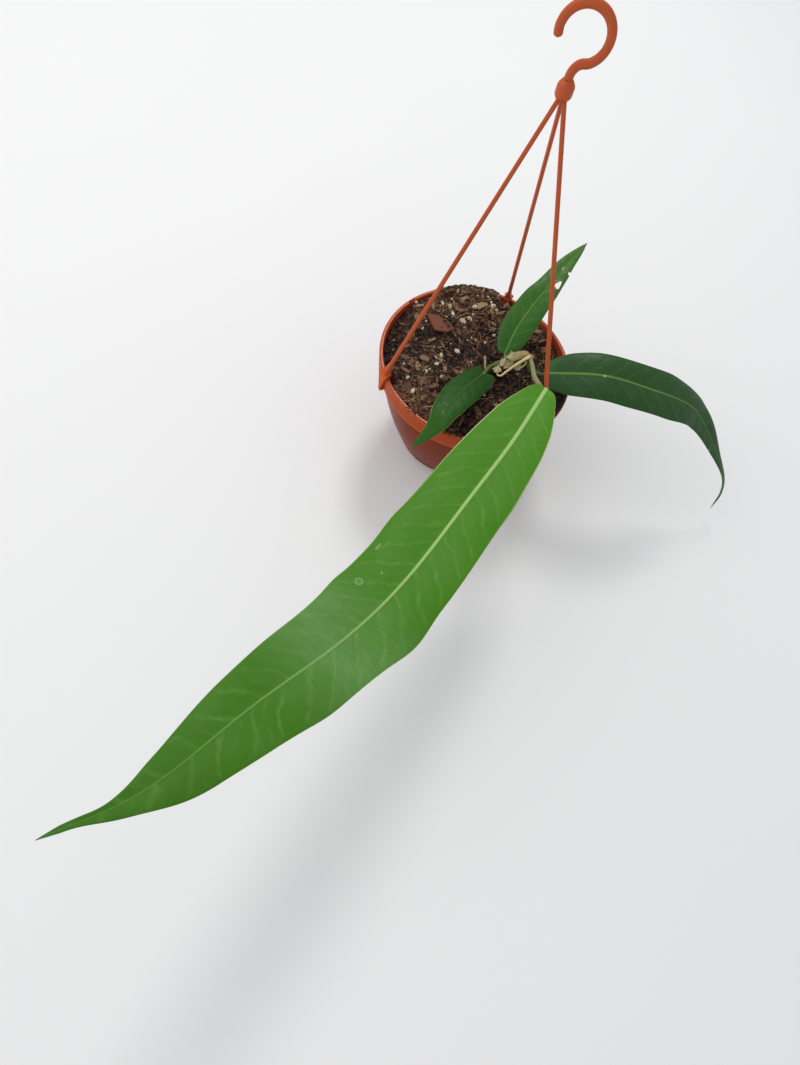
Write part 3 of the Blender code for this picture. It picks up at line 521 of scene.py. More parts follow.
def bit_finish(name, dark, middle, pale, size=0.0012, rough=0.85, stretch=(1, 1, 1),
               patched=True):
    """Loose bits that each carry their own tint, with fine grain over it."""
    finish = Finish(name, Specular_IOR_Level=0.3)
    place = finish.place()
    grain = place.scaled(*stretch).grain(size, 5.0, 0.65)
    tone = (finish.tint() * 0.8 + grain * 0.6 - 0.2).clamped()
    if patched:
        tone = (tone * (0.5 + soil_patches(place) * 1.1)).clamped()
    colour = tone.ramp((0.08, dark), (0.45, middle), (0.92, pale))
    finish.coat(Base_Color=colour, Roughness=rough - grain * 0.25)
    finish.bump(grain, 0.35)
    return finish.material


def vein_sums(across, along, leaf):
    """The side veins' count along the leaf: whole numbers are on a main vein."""
    lean = abs(across) * (0.82 + 0.007 * abs(across))
    return (along - lean) / leaf["vein_gap"]


def leaf_finish(name, leaf, base, tip, vein, sheen, edge, shine=0.24):
    """A satin blade: pale midrib, faint side veins that meet near the edge, and fine net."""
    finish = Finish(name, Specular_IOR_Level=shine)
    flat = finish.flat("leaf_mm")
    across, along = flat.first_two()
    share, length_share = finish.flat("leaf_share").first_two()
    warp = flat.grain(16.0, 3.0) - 0.5
    count = vein_sums(across, along + warp * 17.0, leaf) + (across.step(-0.01, 0.01) * 0.37)
    gap = abs((count + 0.5).fraction() - 0.5) * leaf["vein_gap"]
    inside = abs(share).step(0.93, 0.80)
    broken = flat.grain(9.0, 3.0)
    main_vein = gap.step(2.6, 0.0) * inside * (broken * 1.5 - 0.1)
    half_gap = abs((count * 2 + 0.5).fraction() - 0.5) * (leaf["vein_gap"] / 2)
    minor_vein = half_gap.step(1.6, 0.0) * inside * broken.step(0.42, 0.70)
    rim_vein = (abs(share) + warp * 0.05).near(0.885, 0.022)
    net = flat.cells(2.1, "DISTANCE_TO_EDGE").step(0.07, 0.0)
    ridge = leaf["ridge"] * 0.83 * (1 - 0.95 * length_share.power(1.2))
    middle = (abs(across) - ridge).step(0.22, -0.22)
    fade = length_share.step(0.95, 0.30)
    mottle = flat.grain(22.0, 5.0, 0.6)
    fine = flat.grain(1.1, 4.0, 0.6)
    green = finish.colour(base).toward(tip, (length_share * 0.9 + mottle * 0.5 - 0.3).clamped())
    # Painted sheen in mottled patches
    green = green.toward(sheen, mottle.step(0.46, 0.75) * 0.5)
    side_veins = main_vein * 0.34 + minor_vein * 0.22 + rim_vein * 0.08 + net * 0.10
    green = green.toward(vein, (side_veins * leaf["vein_show"]).clamped())
    green = green.toward(edge, abs(share).step(0.975, 1.0) * 0.6)
    green = green.toward(vein, middle * (0.2 + fade * 0.75) * leaf["rib_show"])
    veins = main_vein + minor_vein * 0.5 + rim_vein * 0.6
    return finish, {"green": green, "middle": middle, "flat": flat, "across": across,
                    "along": along, "share": share, "fine": fine, "mottle": mottle,
                    "veins": veins, "net": net}


def close_leaf(finish, parts, rough):
    """Joins a leaf's colour, gloss and relief to its shader."""
    gloss = rough + parts["mottle"] * 0.14 + parts["middle"] * 0.10 + parts["fine"] * 0.06
    finish.coat(Base_Color=parts["green"], Roughness=gloss)
    relief = parts["fine"] * 0.25 + parts["net"] * 0.15 - parts["veins"] * 0.35
    finish.bump(relief + 0.5, 0.22)
    return finish.material


def spot(parts, along, across, long_reach, cross_reach):
    """An oval patch at a place on the leaf, 1 in its middle."""
    far_along = (parts["along"] - along) / long_reach
    far_across = (parts["across"] - across) / cross_reach
    return (far_along * far_along + far_across * far_across).step(1.0, 0.55)


def stain(parts, red, green, blue, share):
    """Tints the leaf's green towards a colour by a share."""
    parts["green"] = parts["green"].toward(paint(red, green, blue), share)


def long_leaf_finish():
    """Fresh green, with a painted sheen past its middle, a scar ring, a scratch, a fleck, and a
    painted shadow beside the midrib.
    """
    finish, parts = leaf_finish("leaf_long_green", LONG_LEAF, paint(74, 134, 24),
                                paint(56, 107, 20), paint(164, 200, 122), paint(78, 130, 42),
                                paint(132, 152, 60), 0.13)
    pale_line = abs(parts["share"]).step(0.955, 0.985) * parts["along"].step(150.0, 30.0)
    stain(parts, 186, 202, 148, pale_line * 0.8)
    # Painted sheen past the middle, broken by fine streaks
    streak = parts["flat"].scaled(0.30, 1.6, 1).grain(2.6, 4.0, 0.7).step(0.40, 0.80)
    cloud = parts["flat"].grain(26.0, 3.0, 0.5).step(0.30, 0.62)
    painted_sheen = parts["along"].near(234.0, 52.0) * (0.35 + cloud * 0.3 + streak * 0.45)
    stain(parts, 122, 164, 106, painted_sheen * 0.55)
    # Painted shadow along one edge of the midrib
    midrib_shadow = abs(parts["across"] + 1.0).step(0.5, 0.1)
    midrib_shadow = midrib_shadow * parts["along"].step(168.0, 178.0) * parts["along"].step(246.0, 234.0)
    stain(parts, 120, 92, 50, midrib_shadow * 0.3)
    scar = spot(parts, 198.0, 17.6, 3.0, 2.5)
    hollow = spot(parts, 198.0, 17.6, 2.1, 1.7)
    scratch = spot(parts, 170.4, 24.0, 3.0, 0.7)
    fleck = spot(parts, 183.7, 12.2, 0.8, 0.8)
    mark = (scar - hollow).clamped() * 0.42 + hollow * 0.12 + scratch * 0.4 + fleck * 0.5
    stain(parts, 168, 190, 148, mark.clamped())
    return close_leaf(finish, parts, 0.34)


def right_leaf_finish():
    """Dark green with a paler tail, a pale nick on the rib and a tan spot at the edge."""
    finish, parts = leaf_finish("leaf_right_green", RIGHT_LEAF, paint(33, 71, 26),
                                paint(43, 81, 38), paint(96, 148, 62), paint(50, 84, 48),
                                paint(96, 128, 60))
    stain(parts, 70, 118, 52, parts["along"].step(175.0, 225.0) * 0.7)
    stain(parts, 168, 190, 140, spot(parts, 40.0, 0.3, 1.4, 0.9) * 0.7)
    stain(parts, 160, 104, 52, spot(parts, 167.0, 5.5, 1.3, 1.1) * 0.8)
    return close_leaf(finish, parts, 0.30)


def back_leaf_finish():
    """Mid green, brown round the bite and the notch, with a pale nick on the rib."""
    finish, parts = leaf_finish("leaf_back_green", BACK_LEAF, paint(44, 92, 24),
                                paint(64, 112, 30), paint(112, 158, 72), paint(60, 106, 38),
                                paint(96, 130, 52))
    torn = spot(parts, *LEAF_HOLE[:2], 5.0, 3.0)
    torn = torn.larger(spot(parts, *LEAF_NOTCH[:2], 3.4, 3.8))
    stain(parts, 124, 98, 58, torn * 0.7)
    stain(parts, 172, 190, 140, spot(parts, 80.0, 0.3, 2.0, 0.8) * 0.7)
    return close_leaf(finish, parts, 0.32)


def low_leaf_finish():
    """Dark green, with a brown scar, a dry margin, a dusty cloud and two pale nicks."""
    finish, parts = leaf_finish("leaf_low_green", LOW_LEAF, paint(30, 70, 18),
                                paint(52, 102, 30), paint(88, 124, 60), paint(40, 80, 26),
                                paint(150, 132, 90), 0.1)
    stain(parts, 118, 112, 66, spot(parts, 54.0, 0.8, 3.4, 1.1) * 0.55)
    stain(parts, 92, 58, 34, spot(parts, 52.6, 0.8, 1.3, 0.9) * 0.8)
    margin = abs(parts["share"]).step(0.94, 0.985) * parts["along"].step(38.0, 60.0)
    stain(parts, 168, 156, 112, margin * 0.6)
    cloud = parts["flat"].grain(5.0, 4.0, 0.7).step(0.56, 0.74) * parts["along"].near(44.0, 22.0)
    stain(parts, 104, 134, 88, cloud * 0.35)
    nicks = spot(parts, 47.5, 2.4, 0.6, 2.2) * 0.2 + spot(parts, 0.8, 0.0, 1.0, 1.0) * 0.6
    stain(parts, 150, 172, 130, nicks.clamped())
    return close_leaf(finish, parts, 0.30)


def stalk_finish(name, main, pale, brown, dark_foot=None):
    """A petiole or stem: lengthwise streaks, and scattered cork specks."""
    finish = Finish(name, Specular_IOR_Level=0.3)
    flat = finish.flat("tube")
    streak = flat.scaled(9.0, 0.22, 1).grain(1.4, 4.0, 0.6)
    specks = finish.place().grain(0.0016, 4.0, 0.7).step(0.60, 0.72)
    colour = finish.colour(main).toward(pale, streak.step(0.35, 0.75) * 0.7)
    colour = colour.toward(brown, specks * 0.55)
    # Darker brown towards the stem's foot
    if dark_foot:
        high, low = (height * MM for height in DARK_FOOT_LINE)
        colour = colour.toward(dark_foot, finish.place().part("Z").step(high, low) * 0.85)
    finish.coat(Base_Color=colour, Roughness=0.42 + streak * 0.2 + specks * 0.15)
    finish.bump(streak * 0.7 + specks * 0.3, 0.2)
    return finish.material


def papery_finish(name, main, pale, brown, knee=None):
    """Dry sheath or straw: long fibres, creases and brown blotches."""
    finish = Finish(name, Specular_IOR_Level=0.25)
    flat = finish.flat("tube")
    fibres = flat.scaled(14.0, 0.35, 1).grain(1.6, 5.0, 0.65)
    blotch = finish.place().grain(0.0045, 5.0, 0.65)
    colour = finish.colour(main).toward(pale, fibres.step(0.35, 0.7))
    colour = colour.toward(brown, blotch.step(0.52, 0.72) * 0.75)
    if knee:
        near, far = (place * MM for place in KNEE_LINE)
        colour = colour.toward(knee, finish.place().part("X").step(near, far) * 0.8)
    finish.coat(Base_Color=colour, Roughness=0.66 + fibres * 0.2)
    finish.bump(fibres * 0.7 + blotch * 0.3, 0.3)
    return finish.material


# Modelling


def clear_selection():
    """Goes back to object mode with nothing selected."""
    active = bpy.context.object
    if active and active.mode != "OBJECT":
        bpy.ops.object.mode_set(mode="OBJECT")
    bpy.ops.object.select_all(action="DESELECT")


def only(piece):
    """Selects one piece alone."""
    clear_selection()
    piece.select_set(True)
    bpy.context.view_layer.objects.active = piece


def apply_place(piece):
    """Moves an object's place into its mesh."""
    only(piece)
    bpy.ops.object.transform_apply(location=True, rotation=True, scale=True)


def edit_all(piece):
    only(piece)
    bpy.ops.object.mode_set(mode="EDIT")
    bpy.ops.mesh.select_all(action="SELECT")


def leave_edit():
    """Turns all faces outwards and goes back to object mode."""
    bpy.ops.mesh.select_all(action="SELECT")
    bpy.ops.mesh.normals_make_consistent(inside=False)
    bpy.ops.object.mode_set(mode="OBJECT")


def close_mesh(piece):
    """Joins points that meet, fills open ends and turns all faces outwards."""
    edit_all(piece)
    bpy.ops.mesh.remove_doubles(threshold=0.000004)
    bpy.ops.mesh.fill_holes(sides=0)
    leave_edit()


def smooth(piece, angle):
    only(piece)
    bpy.ops.object.shade_smooth_by_angle(angle=math.radians(angle))


def join(name, pieces):
    only(pieces[0])
    for piece in pieces[1:]:
        piece.select_set(True)
    bpy.ops.object.join()
    joined = bpy.context.object
    joined.name = name
    return joined


def use_modifier(piece, name):
    only(piece)
    bpy.ops.object.modifier_apply(modifier=name)


def combine(piece, others, operation):
    """One Boolean after another with each of the others, which are then removed."""
    for other in others:
        cut = piece.modifiers.new("combine", "BOOLEAN")
        cut.operation = operation
        cut.solver = "EXACT"
        cut.object = other
        use_modifier(piece, "combine")
        bpy.data.objects.remove(other, do_unlink=True)


def rounded(piece, width, segments=2):
    """A bevel on every edge sharper than 30 degrees."""
    bevel = piece.modifiers.new("round", "BEVEL")
    bevel.width = width * MM
    bevel.segments = segments
    bevel.limit_method = "ANGLE"
    bevel.angle_limit = math.radians(30)
    use_modifier(piece, "round")


def get_points(piece):
    flat = np.empty(len(piece.data.vertices) * 3)
    piece.data.vertices.foreach_get("co", flat)
    return flat.reshape(-1, 3)


def set_points(piece, points):
    piece.data.vertices.foreach_set("co", np.asarray(points, float).ravel())
    piece.data.update()


def write_tint(mesh, tints):
    """Gives each point of a mesh its tint."""
    layer = mesh.attributes.new("tint", "FLOAT", "POINT")
    layer.data.foreach_set("value", tints)


def on_circle(radius, azimuth):
    """A place seen from above, at a radius and an azimuth in degrees."""
    turn = math.radians(azimuth)
    return radius * math.cos(turn), radius * math.sin(turn)


def sheet_of(columns, rows):
    """A flat sheet of faces, with each point's share across it and along it."""
    clear_selection()
    bpy.ops.mesh.primitive_grid_add(x_subdivisions=columns, y_subdivisions=rows, size=2.0)
    piece = bpy.context.object
    points = get_points(piece)
    return piece, (points[:, 0] + 1) / 2, (points[:, 1] + 1) / 2


def write_map(piece, name, first, second):
    """A UV map that gives two numbers at each point."""
    loops = np.empty(len(piece.data.loops), dtype=np.int32)
    piece.data.loops.foreach_get("vertex_index", loops)
    layer = piece.data.uv_layers.get(name) or piece.data.uv_layers.new(name=name)
    values = np.stack([first[loops], second[loops]], axis=1)
    layer.data.foreach_set("uv", values.ravel())


def finish_piece(piece, name, material, nodes=()):
    """Names a piece, gives it its material and ties it to the frame."""
    piece.name = name
    piece.data.name = name
    piece.data.materials.clear()
    piece.data.materials.append(material)
    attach(piece, "root")
    if nodes:
        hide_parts(*nodes)


def turned_body(profile, sides):
    """A closed body drawn up ring by ring from a disc, as clay on a wheel."""
    clear_selection()
    radius, height = profile[0]
    bpy.ops.mesh.primitive_circle_add(vertices=sides, radius=radius * MM, fill_type="NGON",
                                      location=(0, 0, height * MM))
    bpy.ops.object.mode_set(mode="EDIT")
    bpy.ops.mesh.select_all(action="SELECT")
    for next_radius, next_height in profile[1:]:
        bpy.ops.mesh.extrude_region_move(
            TRANSFORM_OT_translate={"value": (0, 0, (next_height - height) * MM)})
        grow = next_radius / radius
        bpy.ops.transform.resize(value=(grow, grow, 1), center_override=(0, 0, 0))
        radius, height = next_radius, next_height
    leave_edit()
    piece = bpy.context.object
    apply_place(piece)
    return piece


class Route:
    """A smooth curve through points, read by distance from its start."""

    def __init__(self, points):
        knots = np.array(points, float)
        knots = np.vstack([2 * knots[0] - knots[1], knots, 2 * knots[-1] - knots[-2]])
        path = []
        for before, start, end, after in zip(knots, knots[1:], knots[2:], knots[3:]):
            for step in range(ROUTE_STEPS):
                t = step / ROUTE_STEPS
                path.append(0.5 * (2 * start + (end - before) * t
                                   + (2 * before - 5 * start + 4 * end - after) * t ** 2
                                   + (3 * start - before - 3 * end + after) * t ** 3))
        path.append(knots[-2])
        self.path = np.array(path)
        gaps = np.linalg.norm(np.diff(self.path, axis=0), axis=1)
        self.marks = np.concatenate([[0.0], np.cumsum(gaps)])
        self.length = self.marks[-1]

    def at(self, distance):
        """Points at distances, on the straight line of an end where they are past it."""
        distance = np.asarray(distance, float)
        index = np.clip(np.searchsorted(self.marks, distance) - 1, 0, len(self.marks) - 2)
        share = (distance - self.marks[index]) / (self.marks[index + 1] - self.marks[index])
        share = share[..., None]
        return self.path[index] * (1 - share) + self.path[index + 1] * share

    def heading(self, distance):
        step = self.length / 100
        return unit(self.at(distance + step) - self.at(distance - step))


def unit(vectors):
    return vectors / np.linalg.norm(vectors, axis=-1, keepdims=True)


def smooth_value(pairs, x):
    """Values read from (x, value) pairs, joined by a curve with no overshoot."""
    places, values = (np.array(column, float) for column in zip(*pairs))
    slopes = np.diff(values) / np.diff(places)
    inner = [2 * a * b / (a + b) if a * b > 0 else 0.0 for a, b in zip(slopes, slopes[1:])]
    bends = np.array([slopes[0], *inner, slopes[-1]])
    x = np.clip(x, places[0], places[-1])
    index = np.clip(np.searchsorted(places, x) - 1, 0, len(slopes) - 1)
    width = places[index + 1] - places[index]
    t = (x - places[index]) / width
    return ((1 + 2 * t) * (1 - t) ** 2 * values[index] + t * (1 - t) ** 2 * width * bends[index]
            + t * t * (3 - 2 * t) * values[index + 1]
            - t * t * (1 - t) * width * bends[index + 1])


def tube_piece(route, radii, sides, rows, over=(0.3, -0.2, 1.0), swell=None):
    """A closed tube along a route. Its radii run from (across, over) to (across, over), and a
    swell function may change them by the share along it and the angle round it."""
    piece, around, along = sheet_of(sides, rows)
    distance = route.length * along
    heading = route.heading(distance)
    across = unit(np.cross(heading, np.array(over, float)))
    rise = np.cross(across, heading)
    wide = radii[0][0] + (radii[1][0] - radii[0][0]) * along
    high = radii[0][1] + (radii[1][1] - radii[0][1]) * along
    turn = 2 * math.pi * around
    factor = swell(along, turn) if swell else np.ones(len(along))
    points = (route.at(distance) + across * (wide * factor * np.cos(turn))[:, None]
              + rise * (high * factor * np.sin(turn))[:, None])
    set_points(piece, points * MM)
    write_map(piece, "tube", around * radii[0][0] * 6.3, distance)
    close_mesh(piece)
    return piece


def block(low, high, azimuth, bevel):
    """A cube drawn to a box between two corners, its edges rounded, turned to an azimuth."""
    clear_selection()
    centre = [(a + b) / 2 * MM for a, b in zip(low, high)]
    size = [(b - a) * MM for a, b in zip(low, high)]
    bpy.ops.mesh.primitive_cube_add(size=1.0, location=centre, scale=size)
    piece = bpy.context.object
    apply_place(piece)
    rounded(piece, bevel)
    return turned(piece, azimuth)


# Pot


def wall_radius(height):
    """The wall's outer radius, from the base corner up to the band."""
    share = (height - BASE_CORNER) / (BAND_FOOT - BASE_CORNER)
    straight = BASE_RADIUS + (WALL_TOP_RADIUS - BASE_RADIUS) * share
    return straight + WALL_BULGE * 4 * share * (1 - share)


def arc(centre, radius, start, end, steps):
    """Points of a round corner in the profile."""
    turns = [math.radians(start + (end - start) * step / steps) for step in range(steps + 1)]
    return [(centre[0] + radius * math.cos(turn), centre[1] + radius * math.sin(turn))
            for turn in turns]


def pot_profile():
    """Underside, outer wall, band with its soft lower edge, round rim, inner wall and floor."""
    foot_centre = (BASE_RADIUS - BASE_CORNER, BASE_CORNER)
    profile = [(20.0, 0.0), (36.0, 0.0)]
    profile += arc(foot_centre, BASE_CORNER, -90, 0, 8)
    heights = np.linspace(BASE_CORNER, BAND_FOOT - 0.5, 22)[1:]
    profile += [(wall_radius(height), height) for height in heights]
    profile.append((WALL_TOP_RADIUS + 0.5, BAND_FOOT))
    edge_radius = RIM_RADIUS - BAND_TAPER
    profile += arc((edge_radius - BAND_EDGE, BAND_FOOT + BAND_EDGE), BAND_EDGE, -90, 0, 4)
    profile.append((edge_radius + 0.3, BAND_FOOT + 4.0))
    profile.append((RIM_RADIUS - 0.35, POT_HEIGHT - 5.0))
    profile.append((RIM_RADIUS - 0.3, POT_HEIGHT - 3.4))
    profile += arc((RIM_RADIUS - RIM_OUTER_ROUND, POT_HEIGHT - RIM_OUTER_ROUND), RIM_OUTER_ROUND,
                   -10, 84, 7)
    profile += arc((RIM_RADIUS - RIM_WALL + RIM_INNER_ROUND, POT_HEIGHT - RIM_INNER_ROUND),
                   RIM_INNER_ROUND, 96, 180, 6)
    profile += inner_profile(0.0)
    return profile


def inner_profile(clearance):
    """The pot's inside, from below the rim down to the floor."""
    points = [(RIM_RADIUS - RIM_WALL, BAND_FOOT + BAND_STEP)]
    for height in np.linspace(BAND_FOOT, BASE_CORNER, 8)[:-1]:
        points.append((wall_radius(height) - WALL, height))
    points.append((BASE_RADIUS - WALL, FLOOR + BASE_CORNER / 2))
    points.append((BASE_RADIUS - BASE_CORNER, FLOOR))
    points.append((20.0, FLOOR))
    return [(radius - clearance, height + clearance) for radius, height in points]


def make_pot():
    pot = turned_body(pot_profile(), POT_SIDES)
    holes = []
    for index in range(DRAIN_HOLES):
        centre = on_circle(DRAIN_CIRCLE * MM, 360 * index / DRAIN_HOLES)
        clear_selection()
        bpy.ops.mesh.primitive_cylinder_add(vertices=24, radius=DRAIN_RADIUS * MM,
                                            depth=DRAIN_DRILL * MM, location=(*centre, 0))
        holes.append(bpy.context.object)
    combine(pot, holes, "DIFFERENCE")
    smooth(pot, 35.0)
    # The second colour mottles the plastic and is also the painted shade below the band
    material = plastic_finish("terracotta_pot", paint(186, 80, 38), paint(112, 42, 20), 0.2,
                              POT_GLOSS_FROM, 0.42, True)
    finish_piece(pot, "pot_shell", material, ["pot"])


# Hanger


def clip_parts(azimuth, width):
    """A rim clip: saddle over the rim, outer flange with its lip, and inner tooth. The parts end
    a little inside one another."""
    top = POT_HEIGHT + GAP
    outer = RIM_RADIUS + GAP
    inner = RIM_RADIUS - RIM_WALL - GAP - 0.2
    half = width / 2
    lip = half * 0.24
    tooth = CLIP_TOOTH_WIDTH / 2
    foot = BAND_FOOT - GAP
    joined = CLIP_WALL * 0.9
    flange = block((outer, -half, foot - CLIP_WALL), (outer + CLIP_WALL, half, top + joined),
                   0, 0.6)
    narrow(flange, 2, foot, POT_HEIGHT, 0.26, 1.5)
    saddle = block((inner - CLIP_WALL, -half, top), (outer + CLIP_WALL, half, top + CLIP_WALL),
                   0, 0.6)
    narrow(saddle, 0, inner - CLIP_WALL, outer, 0.45, 1.2)
    return [
        turned(saddle, azimuth),
        turned(flange, azimuth),
        block((outer - CLIP_LIP, -lip, foot - CLIP_WALL), (outer + joined, lip, foot),
              azimuth, 0.4),
        block((inner - CLIP_WALL, -tooth, POT_HEIGHT - CLIP_TOOTH_DROP),
              (inner, tooth, top + joined), azimuth, 0.4),
    ]


def narrow(piece, axis, low, high, least, power):
    """Cuts a piece into slices and draws it narrower towards the low end of an axis."""
    edit_all(piece)
    bpy.ops.mesh.subdivide(number_cuts=5)
    bpy.ops.object.mode_set(mode="OBJECT")
    points = get_points(piece) / MM
    share = np.clip((points[:, axis] - low) / (high - low), 0, 1)
    points[:, 1] *= least + (1 - least) * share ** power
    set_points(piece, points * MM)


def turned(piece, azimuth):
    """Turns a piece about the pot's axis."""
    piece.rotation_euler = (0, 0, math.radians(azimuth))
    apply_place(piece)
    return piece


def foot_web(azimuth):
    """The web that spreads an arm's foot over its clip."""
    foot = arm_foot(azimuth)
    rise = unit(np.array(HUB_CENTRE) - foot)
    radial = np.array([*on_circle(1.0, azimuth), 0.0])
    across = np.array([-radial[1], radial[0], 0.0])
    clear_selection()
    bpy.ops.mesh.primitive_cube_add(size=2.0)
    web = bpy.context.object
    edit_all(web)
    bpy.ops.mesh.subdivide(number_cuts=3)
    bpy.ops.object.mode_set(mode="OBJECT")
    local = get_points(web)
    share = (local[:, 2] + 1) / 2
    wide = 1.3 + 2.0 * (1 - share) ** 2
    deep = 1.6 + 0.9 * (1 - share)
    points = (foot + rise * (WEB_LENGTH * share - WEB_SUNK)[:, None]
              + across * (local[:, 0] * wide)[:, None]
              + radial * (local[:, 1] * deep)[:, None])
    set_points(web, points * MM)
    close_mesh(web)
    rounded(web, 0.4)
    return web


def arm_foot(azimuth):
    return np.array([*on_circle(ARM_FOOT_RADIUS, azimuth), POT_HEIGHT + GAP + CLIP_WALL])


def arm_section(along, turn):
    """An arm's moulded section: round, with a low ridge along each of its four sides."""
    return 1 - 0.10 * np.sin(2 * turn) ** 2


def make_arm(azimuth):
    foot = arm_foot(azimuth)
    hub = np.array(HUB_CENTRE)
    route = Route((foot - unit(hub - foot) * 0.8, hub))
    return tube_piece(route, (ARM_FOOT_SIZE, ARM_HUB_SIZE), 20, 24,
                      (*on_circle(1.0, azimuth), 0.0), arm_section)


def hook_route():
    """Up from the hub, then round an open loop."""
    x, y, z = HUB_CENTRE
    centre = z + HUB_HEIGHT / 2 + HOOK_NECK + HOOK_RADIUS
    loop = arc((x, centre), HOOK_RADIUS, HOOK_START_ANGLE, 270.0 - HOOK_OPEN_ANGLE, 12)
    points = [(x, y, z), (x, y, z + HUB_HEIGHT / 2 + HOOK_NECK * 0.4)]
    return Route(points + [(across, y, height) for across, height in loop])


def rounded_end(along, turn):
    """A tube's factor that rounds its far end."""
    past = np.clip((along - 0.975) / 0.025, 0, 1)
    return np.sqrt(np.maximum(1 - past ** 2, 0.04))


def make_hub():
    half = HUB_HEIGHT / 2
    profile = [(1.0, -half), (HUB_RADIUS * 0.66, -half), (HUB_RADIUS * 0.8, -half * 0.93),
               (HUB_RADIUS * 0.98, -half * 0.6), (HUB_RADIUS, -half * 0.4),
               (HUB_RADIUS, half * 0.3), (HUB_RADIUS * 0.95, half * 0.5),
               (HOOK_WIRE * 1.35, half * 0.92), (HOOK_WIRE * 1.15, half), (1.0, half)]
    hub = turned_body(profile, 48)
    hub.location = [value * MM for value in HUB_CENTRE]
    apply_place(hub)
    return hub


def make_hanger():
    hanger = make_hub()
    wire = (HOOK_WIRE, HOOK_WIRE * 0.8)
    parts = [tube_piece(hook_route(), (wire, wire), 24, 90, (0, 1, 0), rounded_end)]
    for azimuth, width in zip(ARM_AZIMUTHS, CLIP_WIDTHS):
        parts.append(make_arm(azimuth))
        parts.append(foot_web(azimuth))
        parts += clip_parts(azimuth, width)
    combine(hanger, parts, "UNION")
    smooth(hanger, 38.0)
    material = plastic_finish("terracotta_hanger", paint(198, 92, 50), paint(168, 72, 38), 0.3,
                              HANGER_GLOSS_FROM, 0.4)
    finish_piece(hanger, "hanger_frame", material, ["hanger"])


# Soil


def soil_height(x, y):
    """The soil's surface above or below the top of the rim."""
    height = SOIL_LEVEL
    for (swell_x, swell_y), reach, rise in SOIL_SWELLS:
        distance = math.hypot(x - swell_x, y - swell_y)
        height += rise * math.exp(-(distance / reach) ** 2)
    lumps = noise.noise(Vector((x, y, 0)) / SOIL_LUMP_SIZE)
    crumbs = noise.noise(Vector((x + 50, y, 9)) / (SOIL_LUMP_SIZE / 3))
    return height + SOIL_LUMP * (lumps + 0.5 * crumbs)


def clip_dent(x, y):
    """How much the soil is pressed down round the clips' teeth, from 0 to 1."""
    radius = math.hypot(x, y)
    azimuth = math.degrees(math.atan2(y, x))
    dent = 0.0
    for clip in ARM_AZIMUTHS:
        apart = abs((azimuth - clip + 180) % 360 - 180)
        beside = max(0.0, 1 - max(apart - DENT_SPAN, 0) / DENT_FADE)
        inward = max(0.0, min(1.0, (radius - DENT_FROM) / DENT_SLOPE))
        dent = max(dent, beside * inward)
    return dent


def top_height(x, y):
    """The dressed soil's surface, with crumbs a millimetre or so across, above the pot's foot."""
    fine = noise.noise(Vector((x, y, 4)) / 1.9) + 0.6 * noise.noise(Vector((x, y, 7)) / 0.9)
    rough = noise.noise(Vector((x + 9, y - 30, 2)) / 5.0)
    height = POT_HEIGHT + soil_height(x, y) + 0.55 * fine + 0.7 * rough
    return height - CLIP_DENT * clip_dent(x, y)


def make_soil_bed(material):
    side = list(reversed(inner_profile(GAP)))
    edge = RIM_RADIUS - RIM_WALL - GAP
    rings = [(edge * (1 - ring / SOIL_RINGS), POT_HEIGHT) for ring in range(SOIL_RINGS)]
    soil = turned_body(side + rings, SOIL_SIDES)
    points = get_points(soil) / MM
    for point in points:
        if abs(point[2] - POT_HEIGHT) < 0.01:
            point[2] = top_height(point[0], point[1])
    set_points(soil, points * MM)
    smooth(soil, 75.0)
    finish_piece(soil, "soil_bed", material, ["soil"])


def spill_top(start, end, rise, azimuth, radius):
    """The height of spilled soil above the pot's foot at an azimuth and a radius."""
    share = min(max((azimuth - start) / (end - start), 0.0), 1.0)
    inner, outer = SPILL_RADII
    column = min(max((radius - inner) / (outer - inner), 0.0), 1.0)
    x, y = on_circle(radius, azimuth)
    lump = 0.8 * noise.noise(Vector((x, y, 3)) / 3.0) + 0.5 * noise.noise(Vector((x, y, 3)) / 1.2)
    shape = math.sin(math.pi * share) ** 0.6 * (1 - 0.75 * column ** 3)
    return POT_HEIGHT + GAP + 0.35 + (rise * shape) + lump * math.sqrt(shape + 0.05)


def make_spill(name, spill, material):
    """A lumpy pad of soil lying over a stretch of the rim."""
    start, end, rise = spill
    piece, around, along = sheet_of(40, 90)
    folded = 1 - np.abs(around * 2 - 1)
    on_top = around <= 0.5
    inner, outer = SPILL_RADII
    points = []
    for fold, top, share in zip(folded, on_top, along):
        azimuth = start + (end - start) * share
        wobble = 0.7 * noise.noise(Vector((share * 14, start, 1)))
        radius = inner + (outer - inner + min(wobble, 0.3)) * fold
        foot = POT_HEIGHT + GAP + 0.05
        height = spill_top(start, end, rise, azimuth, radius) if top else foot
        closing = min(1.0, (1 - fold) * 6) * min(1.0, fold * 6)
        closing *= min(1.0, share * 12) * min(1.0, (1 - share) * 12)
        height = foot + max(height - foot, 0.05) * math.sqrt(closing)
        points.append((*on_circle(radius, azimuth), height))
    set_points(piece, np.array(points) * MM)
    close_mesh(piece)
    smooth(piece, 70.0)
    finish_piece(piece, name, material)


